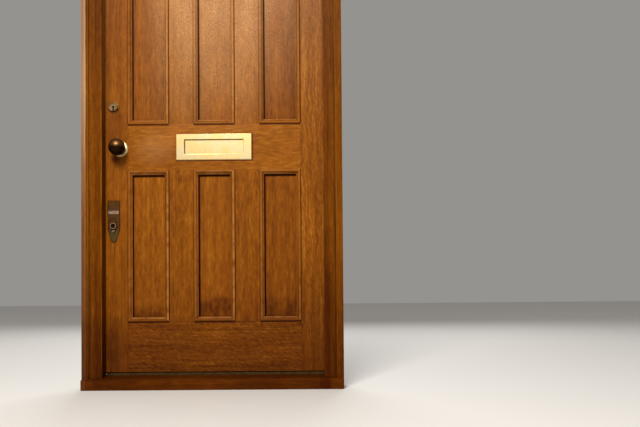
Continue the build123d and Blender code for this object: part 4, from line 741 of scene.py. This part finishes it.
def moulding_section():
    """The planted moulding's section, as (inward, out) points."""
    hollow_start = (QUIRK_END, BEAD_FOOT)
    hollow_end = (HOLLOW_END, MOULDING_EDGE)
    hollow_middle = ((QUIRK_END + HOLLOW_END) / 2 - HOLLOW_SINK, (BEAD_FOOT + MOULDING_EDGE) / 2 - HOLLOW_SINK)
    bead = arc((0, BEAD_FOOT), (BEAD_WIDTH / 2, BEAD_TOP), (BEAD_WIDTH, BEAD_FOOT))
    hollow = arc(hollow_start, hollow_middle, hollow_end)
    return [*bead, (BEAD_WIDTH, QUIRK_FLOOR), (QUIRK_END, QUIRK_FLOOR), *hollow,
            (MOULDING_WIDTH, MOULDING_EDGE), (MOULDING_WIDTH, 0), (0, 0)]


def cover_section():
    """The cover bead's section, as (inward, out) points."""
    width, drop = COVER_WIDTH - COVER_FLAT, COVER_PROUD - COVER_LIP
    ovolo = [
        (COVER_FLAT + width * math.sin(angle), COVER_LIP + drop * math.cos(angle))
        for angle in np.linspace(0, math.pi / 2, ARC_STEPS + 3)
    ]
    corner = COVER_EASE * 0.3
    return [(0, 0), (0, COVER_PROUD - COVER_EASE), (corner, COVER_PROUD - corner), (COVER_EASE, COVER_PROUD),
            *ovolo, (COVER_WIDTH, 0)]


def lengths(name, runs, body, slot, finish, nodes, painted_shading_values=None):
    """Mitred lengths in one piece. A run gives both ends of each line of its section, its axis and its own key."""
    shape = bmesh.new()
    grain, tones = [], []
    for starts, ends, along, key in runs:
        chance = random.Random(f"{name}{key}")
        offset = grain_offset(chance)
        tone = chance.uniform(0.42, 0.58)
        outlines = []
        for outline in (starts, ends):
            outlines.append([shape.verts.new(Vector(point) * MM) for point in outline])
            for point in outline:
                x, y, z = (value * MM for value in point)
                grain.append(np.add((z, y, x) if along == "X" else (x, y, z), offset))
                tones.append(tone)
        near, far = outlines
        for n in range(len(near)):
            after = (n + 1) % len(near)
            shape.faces.new((near[n], near[after], far[after], far[n]))
        shape.faces.new(near)
        shape.faces.new(reversed(far))
    bmesh.ops.recalc_face_normals(shape, faces=shape.faces)
    piece = piece_from(shape, name, finish, smooth=32)
    set_grain(piece.data, grain, tones)
    if painted_shading_values:
        rows = painted_shading_values * (len(tones) // len(painted_shading_values))
        piece.data.attributes.new("painted_shading", "FLOAT", "POINT").data.foreach_set("value", rows)
    place_piece(piece, body, slot, nodes)


def picture_frame(column, row, face, section):
    """The four runs of a moulding round one panel."""
    (left, right), (low, high) = column, row
    surface, way = face
    runs = []
    for turn in range(4):
        ends = ([], [])
        for inward, out in section:
            corners = [(left + inward, low + inward), (right - inward, low + inward),
                       (right - inward, high - inward), (left + inward, high - inward)]
            for end, (x, z) in zip(ends, (corners[turn], corners[(turn + 1) % 4])):
                end.append((x, surface + way * out, z))
        runs.append((*ends, "X" if turn % 2 == 0 else "Z", f"{left}{low}{turn}"))
    return runs


section = moulding_section()
widths = [inward for inward, _ in section]
painted_shading_values = [painted_shading_at(inward, turn) for turn in range(4) for inward in widths * 2]
for side, face in PANEL_FACES.items():
    for row, levels in ROWS.items():
        runs = [run for column in COLUMNS.values() for run in picture_frame(column, levels, face, section)]
        lengths(f"{side}_{row}_moulding_lengths", runs, "leaf", "oak_leaf", oak_moulding,
                [f"{side}_mouldings_{row}"], painted_shading_values)


def cover_bead_runs():
    """Two uprights from the sloping sill and the length across the head."""
    section = cover_section()
    runs = []
    for side in (-1, 1):
        ends = ([], [])
        for inward, out in section:
            x, y = side * (FRAME_HALF - inward), FRAME_FRONT - out
            ends[0].append((x, y, SILL_HEIGHT + y * SILL_SLOPE))
            ends[1].append((x, y, FRAME_TOP - inward))
        runs.append((*ends, "Z", f"upright{side}"))
    ends = [
        [(side * (FRAME_HALF - inward), FRAME_FRONT - out, FRAME_TOP - inward) for inward, out in section]
        for side in (-1, 1)
    ]
    runs.append((*ends, "X", "head"))
    return runs


lengths("cover_bead_lengths", cover_bead_runs(), "frame", "oak_frame", oak_frame, ["cover_beads"])


# Screws and pellets, set on points by Geometry Nodes

def setting_tree():
    """Sets a small piece on every point of a mesh, turned to the point's own axis."""
    tree = bpy.data.node_groups.new("Setting", "GeometryNodeTree")
    inputs = {}
    for label, kind in (("Geometry", "NodeSocketGeometry"), ("Piece", "NodeSocketObject"),
                        ("Scale", "NodeSocketFloat"), ("Seed", "NodeSocketInt"), ("Finish", "NodeSocketMaterial")):
        inputs[label] = tree.interface.new_socket(label, in_out="INPUT", socket_type=kind).identifier
    tree.interface.new_socket("Geometry", in_out="OUTPUT", socket_type="NodeSocketGeometry")
    given = add_node(tree, "NodeGroupInput")
    points = add_node(tree, "GeometryNodeMeshToPoints")
    info = add_node(tree, "GeometryNodeObjectInfo", transform_space="ORIGINAL")
    facing = add_node(tree, "GeometryNodeInputNamedAttribute", data_type="FLOAT_VECTOR")
    facing.inputs["Name"].default_value = "facing"
    align = add_node(tree, "FunctionNodeAlignRotationToVector", axis="Z")
    spin = add_node(tree, "FunctionNodeRandomValue", data_type="FLOAT")
    spin.inputs[3].default_value = 2 * math.pi
    turn = add_node(tree, "FunctionNodeAxisAngleToRotation")
    turn.inputs["Axis"].default_value = (0, 0, 1)
    rotate = add_node(tree, "FunctionNodeRotateRotation", rotation_space="LOCAL")
    instances = add_node(tree, "GeometryNodeInstanceOnPoints")
    real = add_node(tree, "GeometryNodeRealizeInstances")
    paint = add_node(tree, "GeometryNodeSetMaterial")
    result = add_node(tree, "NodeGroupOutput")
    for start, output, end, target in (
        (given, "Geometry", points, "Mesh"),
        (points, "Points", instances, "Points"),
        (given, "Piece", info, "Object"),
        (info, "Geometry", instances, "Instance"),
        (facing, 0, align, "Vector"),
        (given, "Seed", spin, "Seed"),
        (spin, 1, turn, "Angle"),
        (align, 0, rotate, "Rotation"),
        (turn, 0, rotate, "Rotate By"),
        (rotate, 0, instances, "Rotation"),
        (given, "Scale", instances, "Scale"),
        (instances, "Instances", real, "Geometry"),
        (real, "Geometry", paint, "Geometry"),
        (given, "Finish", paint, "Material"),
        (paint, "Geometry", result, "Geometry"),
    ):
        tree.links.new(start.outputs[output], end.inputs[target])
    return tree, inputs


SETTING, SETTING_INPUTS = setting_tree()


def finished_mesh(thing):
    """A plain mesh of an object with its modifiers applied."""
    bpy.context.view_layer.update()
    return bpy.data.meshes.new_from_object(thing.evaluated_get(bpy.context.evaluated_depsgraph_get()))


def set_pieces(name, places, pattern, finish, seed):
    """A plain mesh with a copy of the pattern at each (place, facing)."""
    mesh = bpy.data.meshes.new(name)
    mesh.from_pydata([place for place, _ in places], [], [])
    facing = mesh.attributes.new("facing", "FLOAT_VECTOR", "POINT")
    facing.data.foreach_set("vector", [value for _, way in places for value in way])
    points = link_new(name, mesh)
    modifier = points.modifiers.new("setting", "NODES")
    modifier.node_group = SETTING
    for label, value in {"Piece": pattern, "Scale": 1.0, "Seed": seed, "Finish": finish}.items():
        modifier[SETTING_INPUTS[label]] = value
    made = finished_mesh(points)
    made.name = f"{name}_mesh"
    points.modifiers.remove(modifier)
    points.data = made
    return points


def lathe(profile):
    """A shape turned about Z from (radius, height) points that start and end on the axis."""
    shape = bmesh.new()
    rings = []
    for radius, height in profile:
        angles = [2 * math.pi * n / LATHE_STEPS for n in range(LATHE_STEPS if radius else 1)]
        rings.append([
            shape.verts.new((radius * MM * math.cos(angle), radius * MM * math.sin(angle), height * MM))
            for angle in angles
        ])
    for low, high in zip(rings, rings[1:]):
        for n in range(LATHE_STEPS):
            after = (n + 1) % LATHE_STEPS
            corners = [low[n % len(low)], low[after % len(low)], high[after % len(high)], high[n % len(high)]]
            unique = list(dict.fromkeys(corners))
            if len(unique) > 2:
                shape.faces.new(unique)
    bmesh.ops.recalc_face_normals(shape, faces=shape.faces)
    return shape


def slotted_screw():
    """A countersunk screw with a slot, its head level with the XY plane."""
    screw = piece_from(lathe(SCREW_PROFILE), "screw_blank", steel)
    cutter_shape = bmesh.new()
    bmesh.ops.create_cube(cutter_shape, size=1.0)
    bmesh.ops.scale(cutter_shape, vec=[size * MM for size in SCREW_SLOT], verts=cutter_shape.verts)
    cutter = piece_from(cutter_shape, "slot_cutter", steel)
    slot = screw.modifiers.new("slot", "BOOLEAN")
    slot.operation = "DIFFERENCE"
    slot.solver = "EXACT"
    slot.object = cutter
    cut = finished_mesh(screw)
    bpy.data.objects.remove(screw)
    bpy.data.objects.remove(cutter)
    return cut


def islands(node):
    """The corners of each separate solid in a node."""
    shape = node_shape(node)
    unseen = set(shape.verts)
    found = []
    while unseen:
        group, edge = [], [unseen.pop()]
        while edge:
            vert = edge.pop()
            group.append(vert.co.copy())
            for link in vert.link_edges:
                other = link.other_vert(vert)
                if other in unseen:
                    unseen.remove(other)
                    edge.append(other)
        found.append(np.array(group))
    shape.free()
    return found


def screw_places(node):
    """Where the head of each screw sits and which way it faces, read from its solid."""
    places = []
    for points in islands(node):
        low, high = points.min(0), points.max(0)
        axis = int(np.argmax(high - low))
        others = [n for n in range(3) if n != axis]
        middle = (low + high) / 2
        spread = np.abs(points[:, others] - middle[others]).max(1)
        head = points[spread > spread.max() * 0.98][0]
        way = 1.0 if head[axis] > middle[axis] else -1.0
        place = middle.copy()
        place[axis] = high[axis] if way > 0 else low[axis]
        facing = [0.0, 0.0, 0.0]
        facing[axis] = way
        places.append((tuple(place), tuple(facing)))
    return sorted(places)


screw = link_new("screw_pattern", slotted_screw())
for node, body, seed in (("frame_screws", "frame", 3), ("leaf_screws", "leaf", 8)):
    piece = set_pieces(f"{node}_slotted", screw_places(node), screw, steel, seed)
    place_piece(piece, body, "steel", [node])
bpy.data.objects.remove(screw)

# The wooden pellets over the fixings in the jambs
pellet = piece_from(lathe(PELLET_PROFILE), "pellet_pattern", oak_frame)
set_grain(pellet.data, mesh_points(pellet.data) + PELLET_GRAIN, np.full(len(pellet.data.vertices), PELLET_TONE))
pellet_places = [
    ((side * SIGHT_HALF * MM, FIXING_Y * MM, level * MM), (-side, 0, 0)) for side in (-1, 1) for level in FIXING_LEVELS
]
pellets = set_pieces("jamb_pellets", pellet_places, pellet, oak_frame, 5)
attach(pellets, "frame")
bpy.data.objects.remove(pellet)


# Metalwork from the solids

def metalwork(node, body, slot, finish):
    """A metal piece: its solid with eased edges."""
    shape = node_shape(node)
    ease(shape, METAL_ARRIS, METAL_EDGE)
    piece = piece_from(shape, f"{node}_eased", finish, smooth=25)
    for face in piece.data.polygons:
        face.use_smooth = face.area < FLAT_AREA * MM * MM
    place_piece(piece, body, slot, [node])


def keep(finish, *nodes):
    """Leaves these solids as they are, in a finish."""
    for node in nodes:
        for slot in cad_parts[node].material_slots:
            slot.material = finish


for node, body, slot, finish in (
    ("letter_plate", "leaf", "polished_brass", polished_brass),
    ("letter_flap", "letter_flap", "polished_brass", polished_brass),
    ("inner_letter_frame", "leaf", "polished_brass", polished_brass),
    ("inner_letter_flap", "inner_letter_flap", "polished_brass", polished_brass),
    ("lower_lock_plate", "leaf", "patinated_bronze", patinated_bronze),
    ("lower_lock_band", "leaf", "bare_metal", bare_metal),
    ("inner_lock_plate", "leaf", "patinated_bronze", brown_bronze),
    ("thumb_turn", "cylinder", "patinated_bronze", brown_bronze),
    ("latch_keep", "frame", "dull_brass", dull_brass),
    ("upper_keep", "frame", "dull_brass", dull_brass),
    ("lower_keep", "frame", "dull_brass", dull_brass),
    ("frame_hinge_plates", "frame", "dull_brass", dull_brass),
    ("leaf_hinge_plates", "leaf", "dull_brass", dull_brass),
):
    metalwork(node, body, slot, finish)
keep(dark_bronze, "knob_outer", "knob_inner")
keep(rose_brass, "rose_outer", "rose_inner")
keep(dark_brass, "key_escutcheon_outer", "key_escutcheon_inner", "water_bar")
keep(patinated_bronze, "cylinder_plug")
keep(dull_brass, "hinge_pins", "letter_fixings")
keep(steel, "latch_case", "latch_bolt", "latch_follower", "knob_spindle", "upper_lock_case", "upper_bolt",
     "lower_lock_case", "lower_bolt", "letter_flap_spring")


# Stage, light and camera, in metres

FLOOR_COLOUR = (0.74, 0.72, 0.69)
WORLD_COLOUR = (1.0, 0.97, 0.93)
WORLD_STRENGTH = 0.30
PHOTO_SENSOR = 36.0
PHOTO_LENS = 40.606
PHOTO_SHIFT = (-0.01299, 0.09486)
PHOTO_PLACE = (0.42804, -2.62260, 0.35261)
PHOTO_TURNS = ((0.00566, "Z"), (math.pi / 2 + 0.02068, "X"), (-0.00832, "Z"))


def floor():
    """A plain, pale floor."""
    finish, place = start_finish("pale_floor")
    scuffs = place.cloud((3.0, 3.0, 3.0), detail=3.0)
    end_finish(finish, {"Base Color": opaque(FLOOR_COLOUR), "Roughness": 0.65 + scuffs * 0.15})
    shape = bmesh.new()
    bmesh.ops.create_grid(shape, x_segments=1, y_segments=1, size=15.0)
    thing = piece_from(shape, "pale_floor", finish)


def soft_box(name, place, target, size, power, colour=(1.0, 1.0, 1.0)):
    """A lamp with a soft, oblong face, turned to a target."""
    lamp = bpy.data.lights.new(name, "AREA")
    lamp.shape = "RECTANGLE"
    lamp.size, lamp.size_y = size
    lamp.energy = power
    lamp.color = colour
    thing = link_new(name, lamp)
    thing.location = place
    thing.rotation_euler = (Vector(target) - Vector(place)).to_track_quat("-Z", "Y").to_euler()


floor()
soft_box("key_light", (-0.25, -3.1, 3.2), (0.0, 0.0, 0.95), (1.1, 1.1), 178.0, (1.0, 0.96, 0.90))
soft_box("plate_card", (-1.0, -4.2, 1.9), (0.0, 0.0, 0.9), (1.8, 1.2), 2.5)
soft_box("back_light", (0.0, 3.5, 3.2), (0.0, 0.0, 1.1), (3.0, 2.0), 100.0)

world = bpy.data.worlds.new("studio")
world.use_nodes = True
background = world.node_tree.nodes["Background"]
background.inputs["Color"].default_value = opaque(WORLD_COLOUR)
background.inputs["Strength"].default_value = WORLD_STRENGTH
bpy.context.scene.world = world
bpy.context.scene.view_settings.view_transform = "Standard"

lens = bpy.data.cameras.new("photo_view")
lens.sensor_width = PHOTO_SENSOR
lens.lens = PHOTO_LENS
lens.shift_x, lens.shift_y = PHOTO_SHIFT
stand = Matrix.Translation(PHOTO_PLACE)
for angle, axis in PHOTO_TURNS:
    stand = stand @ Matrix.Rotation(angle, 4, axis)
camera = link_new("photo_view", lens)
camera.matrix_world = stand
bpy.context.scene.camera = camera
